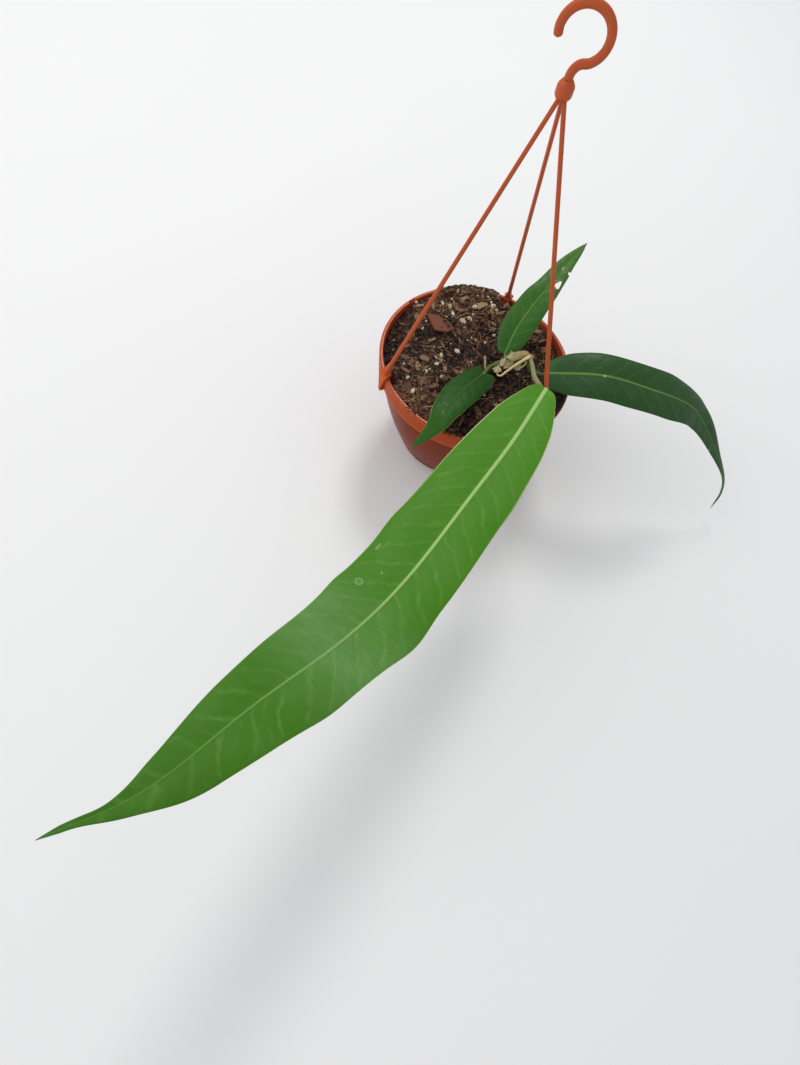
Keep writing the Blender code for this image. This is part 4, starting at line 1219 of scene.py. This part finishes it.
def small_shape(kind, seed):
    """One small bit of soil, about a unit long: a crumb, a chip or a grain. It is then removed
    and only its points and triangles are kept, for copying."""
    clear_selection()
    if kind == "crumb":
        bpy.ops.mesh.primitive_ico_sphere_add(subdivisions=1, radius=0.5)
    elif kind == "grain":
        bpy.ops.mesh.primitive_ico_sphere_add(subdivisions=2, radius=0.5)
    else:
        bpy.ops.mesh.primitive_cylinder_add(vertices=8, radius=0.5, depth=0.16)
    piece = bpy.context.object
    edit_all(piece)
    if kind == "chip":
        bpy.ops.mesh.select_mode(type="FACE")
        bpy.ops.mesh.inset(thickness=0.07, depth=0.02, use_individual=True)
        bpy.ops.mesh.select_all(action="SELECT")
        bpy.ops.transform.resize(value=(1.0, 0.52, 1.0), center_override=(0, 0, 0))
        bpy.ops.mesh.select_mode(type="VERT")
    bpy.ops.transform.vertex_random(offset=SHAPE_SPREAD[kind], uniform=0.9, seed=seed)
    bpy.ops.mesh.quads_convert_to_tris()
    leave_edit()
    points = get_points(piece)
    faces = np.array([face.vertices[:] for face in piece.data.polygons])
    bpy.data.objects.remove(piece, do_unlink=True)
    return points, faces


def copies(name, shapes, places):
    """One mesh of many copies. A place is (centre, size along each axis, rotation, tint)."""
    all_points, all_faces, tints = [], [], []
    count = 0
    for index, (centre, size, rotation, tint) in enumerate(places):
        points, faces = shapes[index % len(shapes)]
        placed = (points * np.array(size)) @ np.array(rotation).T + np.array(centre)
        all_points.append(placed * MM)
        all_faces.append(faces + count)
        tints.append(np.full(len(points), tint))
        count += len(points)
    mesh = bpy.data.meshes.new(name)
    mesh.from_pydata(np.vstack(all_points), [], np.vstack(all_faces).tolist())
    write_tint(mesh, np.concatenate(tints))
    piece = bpy.data.objects.new(name, mesh)
    bpy.context.scene.collection.objects.link(piece)
    return piece


def any_turn(draw):
    axis = Vector([draw.uniform(-1, 1) for _ in range(3)])
    return Matrix.Rotation(draw.uniform(0, 2 * math.pi), 3, axis.normalized())


def lying_turn(draw, tilt):
    """Turned any way about the vertical, and tilted a little."""
    flat = Matrix.Rotation(draw.uniform(0, 2 * math.pi), 3, "Z")
    lean = Matrix.Rotation(draw.uniform(-tilt, tilt), 3, Vector((draw.uniform(-1, 1), 1, 0)))
    return lean @ flat


def soil_places(draw, count, reach):
    """Random places on the soil, away from the stem and the clips."""
    stem_x, stem_y, _ = STEM_POINTS[1]
    places = []
    while len(places) < count:
        angle = draw.uniform(0, 2 * math.pi)
        radius = reach * math.sqrt(draw.random())
        x, y = radius * math.cos(angle), radius * math.sin(angle)
        beside_stem = math.hypot(x - stem_x, y - stem_y) < STEM_CLEARANCE
        if not beside_stem and clip_dent(x, y) == 0:
            places.append((x, y))
    return places


def make_crumbs(material):
    draw = random.Random(SEED)
    shapes = [small_shape("crumb", seed) for seed in range(1, 7)]
    places = []
    for x, y in soil_places(draw, CRUMBS, CRUMB_REACH):
        size = draw.choice((0.8, 1.0, 1.2, 1.5, 1.9, 2.6))
        height = top_height(x, y) + size * 0.15
        sizes = (size * draw.uniform(0.8, 1.6), size, size * draw.uniform(0.6, 1.0))
        places.append(((x, y, height), sizes, any_turn(draw), draw.random() ** 1.6))
    places += spill_crumbs(draw)
    places += rim_crumbs(draw)
    crumbs = copies("soil_crumbs", shapes, places)
    finish_piece(crumbs, "soil_crumbs", material)


def spill_crumbs(draw):
    """Crumbs on the soil that lies over the rim."""
    places = []
    for start, end, rise in SOIL_SPILLS:
        for _ in range(SPILL_CRUMBS):
            azimuth = draw.uniform(start + 1, end - 1)
            radius = draw.uniform(*SPILL_CRUMB_RADII)
            size = draw.choice((0.8, 1.0, 1.3, 1.8))
            height = spill_top(start, end, rise, azimuth, radius) + size * 0.1
            places.append(((*on_circle(radius, azimuth), height),
                           (size * 1.2, size, size * 0.8), any_turn(draw), draw.random() ** 1.6))
    return places


def rim_crumbs(draw):
    """A few crumbs caught on the rim's top."""
    places = []
    for azimuth, count in RIM_CRUMBS:
        for _ in range(count):
            azimuth_here = azimuth + draw.uniform(-2.5, 2.5)
            radius = RIM_RADIUS - RIM_WALL / 2 + draw.uniform(-1.4, 0.6)
            size = draw.uniform(0.8, 1.7)
            centre = (*on_circle(radius, azimuth_here), POT_HEIGHT + size * 0.25)
            places.append((centre, (size * 1.3, size, size * 0.7), any_turn(draw),
                           draw.random() * 0.8))
    return places


def make_chips(material):
    """Many small bark chips."""
    draw = random.Random(SEED + 1)
    shapes = [small_shape("chip", seed) for seed in range(1, 9)]
    places = []
    for x, y in soil_places(draw, CHIPS, CHIP_REACH):
        length = 3.0 + 8.0 * draw.random() ** 2.0
        sizes = (length, length * draw.choice((0.28, 0.36, 0.5, 0.9)), max(length * 0.7, 3.6))
        places.append(((x, y, top_height(x, y) + 0.5), sizes, lying_turn(draw, 0.7),
                       draw.random()))
    chips = copies("bark_chips", shapes, places)
    finish_piece(chips, "bark_chips", material)


def bark_slab(corners, thickness, tint):
    """A large flat chip with a clean outline, lying a little tilted on the soil."""
    clear_selection()
    bpy.ops.mesh.primitive_circle_add(vertices=len(corners), radius=1.0, fill_type="NGON")
    slab = bpy.context.object
    level = max(top_height(x, y) for x, y in corners) + thickness * 0.35
    middle_x = sum(x for x, _ in corners) / len(corners)
    set_points(slab, np.array([(x, y, level + 0.06 * (x - middle_x)) for x, y in corners]) * MM)
    edit_all(slab)
    bpy.ops.mesh.extrude_region_move(TRANSFORM_OT_translate={"value": (0, 0, -thickness * MM)})
    leave_edit()
    rounded(slab, thickness * 0.3, 3)
    write_tint(slab.data, np.full(len(slab.data.vertices), tint))
    return slab


def make_slabs(material):
    slabs = join("bark_slabs", [bark_slab(*slab) for slab in SLABS])
    smooth(slabs, 50.0)
    finish_piece(slabs, "bark_slabs", material)


def soil_strand(name, places, radius, lift, material):
    """A pale stick or root lying on the soil."""
    route = Route([(x, y, POT_HEIGHT + soil_height(x, y) + lift) for x, y in places])
    sizes = ((radius, radius), (radius * 0.7, radius * 0.7))
    strand = tube_piece(route, sizes, 12, 40, swell=strand_lumps)
    smooth(strand, 60.0)
    finish_piece(strand, name, material)


def strand_lumps(along, turn):
    return 1 + 0.14 * np.sin(along * 17) * np.cos(turn * 2 + 1)


def make_grains(material):
    """Pale mineral grains."""
    draw = random.Random(SEED + 2)
    shapes = [small_shape("grain", seed) for seed in range(1, 6)]
    spots = list(GRAIN_PLACES) + soil_places(draw, GRAINS, GRAIN_REACH)
    places = []
    for index, (x, y) in enumerate(spots):
        if index < len(GRAIN_PLACES):
            size = draw.uniform(2.3, 3.7)
        else:
            size = 0.6 + 1.5 * draw.random() ** 2
        sizes = (size * draw.uniform(1.0, 1.7), size, size * draw.uniform(0.6, 0.9))
        places.append(((x, y, top_height(x, y) + size * 0.3), sizes, any_turn(draw),
                       draw.uniform(0.35, 1.0)))
    grains = copies("perlite_grains", shapes, places)
    finish_piece(grains, "perlite_grains", material)


def fibre_points(draw, x, y, length, lift):
    """Points of a fibre that wanders over the soil."""
    turn = draw.uniform(0, 2 * math.pi)
    bend = draw.uniform(-0.16, 0.16)
    points = []
    steps = 6
    for step in range(steps + 1):
        share = step / steps
        height = POT_HEIGHT + soil_height(x, y) + 0.9 + lift * math.sin(math.pi * share)
        points.append(Vector((x, y, height)) * MM)
        x += math.cos(turn) * length / steps
        y += math.sin(turn) * length / steps
        turn += bend + draw.uniform(-0.2, 0.2)
    return points


def rim_thread_points(azimuth, drift):
    """Points of a short thread that lies across the rim, drifting round it on its way out."""
    points = []
    for step, rise in enumerate(RIM_THREAD_RISE):
        x, y = on_circle(RIM_THREAD_START + step * RIM_THREAD_STEP, azimuth + step * drift)
        points.append((x * MM, y * MM, (POT_HEIGHT + rise) * MM))
    return points


def add_thread(curve, points, draw, thin, thick):
    """One thread through points, now thinner and now thicker."""
    line = curve.splines.new("NURBS")
    line.points.add(len(points) - 1)
    line.use_endpoint_u = True
    for point, target in zip(points, line.points):
        target.co = (*point, 1.0)
        target.radius = draw.uniform(thin, thick)


def strew_threads(curve):
    """Threads all over the soil, more of them at the front left, and a few over the rim."""
    draw = random.Random(SEED + 3)
    spots = soil_places(draw, FIBRES, FIBRE_REACH)
    spots += [(draw.gauss(-26, 14), draw.gauss(-46, 8)) for _ in range(FRONT_FIBRES)]
    for x, y in spots:
        length = draw.uniform(5, 16)
        if math.hypot(x, y) + length <= THREAD_LIMIT:
            points = fibre_points(draw, x, y, length, draw.uniform(0.2, 1.6))
            add_thread(curve, points, draw, 0.6, 1.6)
    for azimuth in RIM_THREADS:
        points = rim_thread_points(azimuth, draw.uniform(-1.1, 1.1))
        add_thread(curve, points, draw, 1.4, 2.4)


def fibre_tint(place):
    """Mixed over the soil, and dark on the rim."""
    if place.xy.length < THREAD_DARK * MM:
        return noise.noise(place * 90) * 0.9 + 0.5
    return 0.0


def make_fibres(material):
    """Coir and root threads, as one bevelled curve made a mesh."""
    curve = bpy.data.curves.new("coir_fibres", "CURVE")
    curve.dimensions = "3D"
    curve.bevel_depth = THREAD_RADIUS * MM
    curve.bevel_resolution = 1
    curve.resolution_u = 2
    strew_threads(curve)
    fibres = bpy.data.objects.new("coir_fibres", curve)
    bpy.context.scene.collection.objects.link(fibres)
    only(fibres)
    bpy.ops.object.convert(target="MESH")
    fibres = bpy.context.object
    write_tint(fibres.data, [fibre_tint(vertex.co) for vertex in fibres.data.vertices])
    edit_all(fibres)
    bpy.ops.mesh.fill_holes(sides=0)
    bpy.ops.object.mode_set(mode="OBJECT")
    smooth(fibres, 60.0)
    finish_piece(fibres, "coir_fibres", material)


def make_soil():
    bed = soil_finish("potting_soil")
    make_soil_bed(bed)
    for index, spill in enumerate(SOIL_SPILLS):
        make_spill(f"soil_spill_{index + 1}", spill, bed)
    make_crumbs(bit_finish("soil_crumb", paint(20, 13, 10), paint(66, 47, 36),
                           paint(134, 104, 78)))
    make_chips(bit_finish("bark", paint(38, 24, 18), paint(94, 62, 46), paint(156, 124, 92),
                          0.0016, 0.8, (1, 2.5, 1)))
    make_slabs(bit_finish("slab_bark", paint(110, 55, 35), paint(100, 70, 52),
                          paint(146, 126, 88), 0.0024, 0.7, (1, 2.5, 1), False))
    pale = papery_finish("pale_wood", paint(150, 122, 94), paint(186, 166, 138),
                         paint(112, 80, 56))
    soil_strand("pale_stick", STICK_POINTS, 1.0, 1.6, pale)
    soil_strand("pale_root", ROOT_POINTS, 0.26, 1.3, pale)
    make_grains(bit_finish("perlite", paint(136, 122, 90), paint(190, 176, 142),
                           paint(222, 212, 186), 0.0009, 0.95, (1, 1, 1), False))
    make_fibres(bit_finish("coir", paint(70, 44, 30), paint(132, 96, 66), paint(196, 168, 122),
                           0.001, 0.8))


# Stem and sheaths


def stem_swell(along, turn):
    """Low rings where old leaves have come away, and shallow furrows."""
    rings = 0.06 * np.maximum(np.cos(along * 2 * math.pi * 6), 0) ** 3
    return 1 + rings - 0.025 * np.cos(turn * 5 + along * 9)


def make_stem():
    radii = [(radius, radius) for radius in STEM_RADIUS]
    stem = tube_piece(Route(STEM_POINTS), radii, 40, 90, swell=stem_swell)
    smooth(stem, 60.0)
    material = stalk_finish("stem_green", paint(84, 96, 46), paint(120, 130, 72),
                            paint(84, 62, 40), paint(50, 42, 28))
    finish_piece(stem, "stem_core", material, ["stem"])


def sheath_piece(start, end, radii, wrap, frill, seed):
    """A papery sheath wound part of the way round the stem, creased along and frayed at its end.
    It runs from a start to an end, by the stem's length, and wraps from angle to angle."""
    route = Route(STEM_POINTS)
    piece, around, along = sheet_of(46, 40)
    ragged = np.array([noise.noise(Vector((value * 9, seed, 0))) for value in around])
    far = start + (end - start) * along * (1 + 0.10 * ragged * along)
    distance = route.length * far
    heading = route.heading(distance)
    across = unit(np.cross(heading, np.array([0.0, 0.0, 1.0])))
    over = np.cross(across, heading)
    turn = np.radians(wrap[0] + (wrap[1] - wrap[0]) * around)
    creases = np.array([noise.noise(Vector((a * 16, b * 2.2, seed)))
                        for a, b in zip(around, along)])
    waves = frill * along ** 2 * np.sin(around * 14.7 + along * 6)
    radius = radii[0] + (radii[1] - radii[0]) * along + waves + 0.42 * creases
    points = (route.at(distance) + across * (radius * np.cos(turn))[:, None]
              + over * (radius * np.sin(turn))[:, None])
    set_points(piece, points * MM)
    write_map(piece, "tube", around * 8, distance)
    thicken(piece, SHEATH_WALL)
    return piece


def thicken(piece, wall):
    """Gives a sheet its thickness."""
    solid = piece.modifiers.new("thick", "SOLIDIFY")
    solid.thickness = wall * MM
    solid.offset = 0
    use_modifier(piece, "thick")


def knee_cap():
    """The tan scar over the knee, where the petioles leave the stem."""
    clear_selection()
    bpy.ops.mesh.primitive_uv_sphere_add(segments=28, ring_count=18, radius=1.0)
    piece = bpy.context.object
    local = get_points(piece)
    lumps = np.array([1 + 0.16 * noise.noise(Vector(point) * 2.2) for point in local])
    points = local * lumps[:, None] * np.array(KNEE_RADII) + np.array(KNEE_CENTRE)
    set_points(piece, points * MM)
    write_map(piece, "tube", local[:, 0] * 3, local[:, 2] * 3)
    return piece


def crumpled_flap(corners, seed, crush):
    """A torn piece of bract between four corners, crushed into sharp little folds."""
    piece, across, along = sheet_of(30, 34)
    low_left, low_right, high_left, high_right = (np.array(corner, float) for corner in corners)
    points = []
    for a, b in zip(across, along):
        ragged = 0.14 * noise.noise(Vector((b * 3.4, seed, a)))
        a = a + ragged * (1 if a > 0.5 else -1)
        flat = (low_left * (1 - a) + low_right * a) * (1 - b)
        flat = flat + (high_left * (1 - a) + high_right * a) * b
        fold = abs(noise.noise(Vector((a * 1.9, b * 2.4, seed)))) * 3.0
        fold += abs(noise.noise(Vector((a * 4.6, b * 4.0, seed + 3)))) * 0.7
        arch = 1.6 * a * (1 - a)
        points.append(flat + np.array([-0.2, -0.5, 1.0]) * (fold + arch) * crush)
    set_points(piece, np.array(points) * MM)
    write_map(piece, "tube", across * 8, along * 12)
    thicken(piece, BRACT_WALL)
    return piece


def straw_taper(along, turn):
    """Rounds a strand's free end and dents it here and there."""
    return np.sqrt(np.clip(along * 14 + 0.08, 0, 1)) * (1 + 0.07 * np.sin(along * 19 + turn))


def make_sheaths():
    wraps = join("sheath_wraps", [
        sheath_piece(0.72, 0.94, (4.4, 4.0), (42.0, 190.0), 0.2, 1.0),
        sheath_piece(0.76, 0.99, (4.5, 3.3), (34.0, 150.0), 0.1, 2.0),
        knee_cap(),
        crumpled_flap(*TAN_FLAP),
    ])
    smooth(wraps, 60.0)
    tan = papery_finish("sheath_paper", paint(146, 132, 86), paint(184, 170, 122),
                        paint(112, 84, 54), paint(196, 148, 112))
    finish_piece(wraps, "sheath_wraps", tan, ["dry_sheaths"])
    flaps = join("torn_flap", [crumpled_flap(*flap) for flap in FLAPS])
    smooth(flaps, 60.0)
    pale = papery_finish("flap_paper", paint(160, 152, 108), paint(212, 202, 164),
                         paint(132, 100, 68))
    finish_piece(flaps, "torn_flap", pale)
    straw = join("straw_strand", [
        tube_piece(Route(STRAW_POINTS), ((0.6, 0.55), (1.25, 0.8)), 16, 60, swell=straw_taper),
        tube_piece(Route(CURL_POINTS), ((0.4, 0.3), (0.55, 0.35)), 12, 30, swell=straw_taper),
    ])
    smooth(straw, 60.0)
    gold = papery_finish("straw", paint(216, 192, 136), paint(234, 216, 168),
                         paint(176, 138, 88))
    finish_piece(straw, "straw_strand", gold)


# Leaves


class Blade:
    """One leaf's shape: its middle line, its directions and its widths."""

    def __init__(self, leaf):
        self.leaf = leaf
        self.route = Route(leaf["midrib"])
        self.length = self.route.length

    def frame(self, distance):
        heading = self.route.heading(distance)
        side = unit(np.cross(heading, np.array(self.leaf["up"], float)))
        return side, np.cross(side, heading)

    def half_width(self, distance):
        return smooth_value(self.leaf["outline"], distance)

    def leaning(self, distance, sign):
        """How much wider than the outline one side is."""
        share = np.clip(distance / self.length, 0, 1)
        return 1 - sign * self.leaf["lean"] * (share ** 4 - BASE_LEAN)

    def wander(self, distance, sign):
        """How far the edge strays from the outline: small bulges and dips on one side."""
        stray = np.zeros(len(distance))
        for place, reach, amount, side in self.leaf["wander"]:
            stray += np.where(sign == side, amount, 0) * np.exp(-((distance - place) / reach) ** 2)
        return stray

    def ridge(self, distance):
        share = distance / self.length
        return self.leaf["ridge"] * (1 - share) + RIDGE_END * share

    def setback(self, distance, offset):
        """How far a point near the base lies behind its row, where the base is lobed."""
        ridge = self.ridge(distance)
        reach = (np.maximum(np.abs(offset) - ridge, 0)
                 / np.maximum(self.half_width(distance) - ridge, ridge))
        shape = distance / LOBE_PLACE * np.exp(1 - distance / LOBE_PLACE)
        return self.leaf["lobe"] * shape * np.minimum(reach, 1)

    def rise(self, distance, offset):
        """The blade's height off its flat: folded up, drooping to the edge, waved, quilted."""
        across = np.abs(offset) / self.half_width(distance)
        share = distance / self.length
        turns = 2 * math.pi * self.leaf["waves"] * share + np.where(offset > 0, 0.9, 0.0)
        wave = self.leaf["wave"] * np.sin(turns) * np.sin(math.pi * share)
        fold = math.tan(math.radians(self.leaf["fold"]))
        quilt = np.cos(2 * math.pi * vein_sums(offset, distance, self.leaf))
        inside = np.clip((1 - across) * 5, 0, 1) * np.clip(across * 6, 0, 1)
        return (np.abs(offset) * (fold - self.leaf["droop"] * across ** 2) + wave * across ** 2
                - QUILTING * quilt * inside * np.sin(math.pi * share))

    def point(self, distance, offset, lift):
        """Points of the blade, from places along and across it and a lift off it."""
        along = distance - self.setback(distance, offset)
        side, normal = self.frame(along)
        lift = self.rise(distance, offset) + lift
        return self.route.at(along) + side * offset[:, None] + normal * lift[:, None]


def blade_piece(leaf):
    """A closed blade: a sheet wound round its two edges, raised along its midrib."""
    blade = Blade(leaf)
    half_columns = RIDGE_COLUMNS + SIDE_COLUMNS
    piece, around, along = sheet_of(4 * half_columns, leaf["rows"])
    distance = blade.length * (along - 0.10 * np.sin(2 * math.pi * along))
    on_top = around <= 0.5
    across = np.where(on_top, around * 2, 2 - around * 2) * 2 - 1
    sign = np.where(across >= 0, 1.0, -1.0)
    column = np.abs(across) * half_columns
    tip = np.clip((blade.length - distance) / TIP_LENGTH, 0.02, 1) ** 0.6
    ridge = blade.ridge(distance) * tip
    half = np.maximum(blade.half_width(distance), ridge * 1.25) * blade.leaning(distance, sign)
    half = (half + blade.wander(distance, sign)) * tip
    outward = np.clip((column - RIDGE_COLUMNS) / SIDE_COLUMNS, 0, 1)
    outward = 1 - (1 - outward) ** 1.25
    offset = sign * np.where(column <= RIDGE_COLUMNS, ridge * column / RIDGE_COLUMNS,
                             ridge + (half - ridge) * outward)
    edge = np.sqrt(np.maximum(1 - outward ** 10, 0))
    fade = np.minimum(ridge / leaf["ridge"], 1)
    hump = 0.5 * (1 + np.cos(math.pi * np.clip(np.abs(offset) / (ridge * 1.1), 0, 1)))
    height = np.where(on_top, RIDGE_TOP, RIDGE_KEEL) * fade * hump
    lift = np.where(on_top, 1.0, -1.0) * (BLADE_THICKNESS / 2 * edge + height) * tip
    set_points(piece, blade.point(distance, offset, lift) * MM)
    write_map(piece, "leaf_mm", offset, distance)
    write_map(piece, "leaf_share", sign * outward, distance / blade.length)
    close_mesh(piece)
    return piece, blade


def stalk_piece(leaf, blade):
    """A petiole that swells just below the blade and runs on under it as the midrib's root."""
    radius = leaf["stalk"]
    places = np.array([1.5, 2.0 + STALK_TAPER * 0.4, STALK_TAPER])
    depths = np.array([[1.6], [1.1], [0.7]])
    under = blade.route.at(places) - blade.frame(places)[1] * depths * radius
    route = Route([*leaf["petiole"], *under])
    joint = (route.length - STALK_TAPER) / route.length

    def swell(along, turn):
        knuckle = 0.06 * np.exp(-((along - joint) * route.length / 3.0 + 1.2) ** 2)
        past = np.clip((along - joint) / (1 - joint), 0, 1)
        groove = 0.10 * np.maximum(np.sin(turn), 0) ** 6
        slim = leaf["ridge"] / radius
        return (1 + knuckle - groove) * (1 - (1 - slim * 0.55) * past)

    sizes = ((radius * 0.9, radius * 0.9), (radius * 1.1, radius * 1.1))
    return tube_piece(route, sizes, 28, 80, (0.0, -0.25, 1.0), swell)


def make_leaf(name, leaf, blade_material, stalk_material, cutters=()):
    """A leaf's blade and petiole, which together stand for its solid."""
    piece, blade = blade_piece(leaf)
    if cutters:
        combine(piece, [leaf_cutter(blade, *cutter) for cutter in cutters], "DIFFERENCE")
    smooth(piece, 70.0)
    finish_piece(piece, f"blade_{name}", blade_material, [f"leaf_{name}"])
    stalk = stalk_piece(leaf, blade)
    smooth(stalk, 70.0)
    finish_piece(stalk, f"petiole_{name}", stalk_material, [f"leaf_{name}"])


def leaf_cutter(blade, distance, offset, long_radius, cross_radius):
    """An uneven pin through the blade, for a bite or a torn notch."""
    clear_selection()
    bpy.ops.mesh.primitive_cylinder_add(vertices=22, radius=1.0, depth=2.0)
    pin = bpy.context.object
    local = get_points(pin)
    turn = np.arctan2(local[:, 1], local[:, 0])
    uneven = 1 + 0.16 * np.sin(3 * turn + 1) + 0.07 * np.sin(7 * turn)
    heading = blade.route.heading(distance)
    side, normal = blade.frame(np.array([distance]))
    centre = blade.point(np.array([distance]), np.array([offset]), np.array([0.0]))
    points = (centre + heading * (local[:, 0] * uneven * long_radius)[:, None]
              + side * (local[:, 1] * uneven * cross_radius)[:, None]
              + normal * (local[:, 2] * 4)[:, None])
    set_points(pin, points * MM)
    close_mesh(pin)
    return pin


def make_leaves():
    olive = stalk_finish("petiole_olive", paint(118, 124, 74), paint(170, 174, 128),
                         paint(104, 82, 52))
    mossy = stalk_finish("petiole_moss", paint(78, 92, 40), paint(118, 128, 66),
                         paint(84, 66, 40))
    # A darker copy of the petiole colours: painted shade for the right leaf's petiole, which lies
    # in shadow
    shaded = stalk_finish("petiole_painted_shade", paint(62, 84, 36), paint(86, 108, 54),
                          paint(80, 64, 40))
    fresh = stalk_finish("petiole_fresh", paint(96, 132, 56), paint(134, 164, 86),
                         paint(104, 84, 50))
    make_leaf("long", LONG_LEAF, long_leaf_finish(), olive)
    make_leaf("right", RIGHT_LEAF, right_leaf_finish(), shaded)
    make_leaf("back", BACK_LEAF, back_leaf_finish(), fresh, [LEAF_HOLE, LEAF_NOTCH])
    make_leaf("low", LOW_LEAF, low_leaf_finish(), mossy)


# Floor, light and camera


def make_floor():
    clear_selection()
    bpy.ops.mesh.primitive_plane_add(size=FLOOR_SIZE)
    floor = bpy.context.object
    floor.name = "studio_floor"
    finish = Finish("studio_paper", Specular_IOR_Level=0.1, Roughness=0.95)
    mottle = finish.place().grain(0.6, 2.0)
    finish.coat(Base_Color=mottle.ramp((0.0, (0.86, 0.86, 0.86, 1)), (1.0, (0.9, 0.9, 0.9, 1))))
    floor.data.materials.append(finish.material)


def add_light(name, place, size, power, colour):
    """A soft square lamp that looks at the plant."""
    clear_selection()
    bpy.ops.object.light_add(type="AREA", location=place)
    lamp = bpy.context.object
    lamp.name = name
    lamp.data.size = size
    lamp.data.energy = power
    lamp.data.color = colour
    aim = Vector(LAMP_TARGET) - Vector(place)
    lamp.rotation_euler = aim.to_track_quat("-Z", "Y").to_euler()


def light_scene():
    world = bpy.data.worlds.new("studio")
    world.use_nodes = True
    sky = world.node_tree.nodes["Background"]
    sky.inputs["Color"].default_value = SKY_COLOUR
    sky.inputs["Strength"].default_value = SKY_STRENGTH
    bpy.context.scene.world = world
    for lamp in LAMPS:
        add_light(*lamp)
    bpy.context.scene.view_settings.view_transform = "Standard"


def place_camera():
    clear_selection()
    right = Vector(CAMERA_RIGHT)
    up = Vector(CAMERA_UP)
    back = right.cross(up)
    turn = Matrix((right, up, back)).transposed().to_4x4()
    bpy.ops.object.camera_add()
    camera = bpy.context.object
    camera.matrix_world = Matrix.Translation(CAMERA_PLACE) @ turn
    camera.data.sensor_width = SENSOR
    camera.data.lens = FOCAL_PIXELS * SENSOR / IMAGE_HEIGHT
    camera.data.clip_start, camera.data.clip_end = CAMERA_RANGE
    bpy.context.scene.camera = camera


make_pot()
make_hanger()
make_soil()
make_stem()
make_sheaths()
make_leaves()
make_floor()
light_scene()
place_camera()
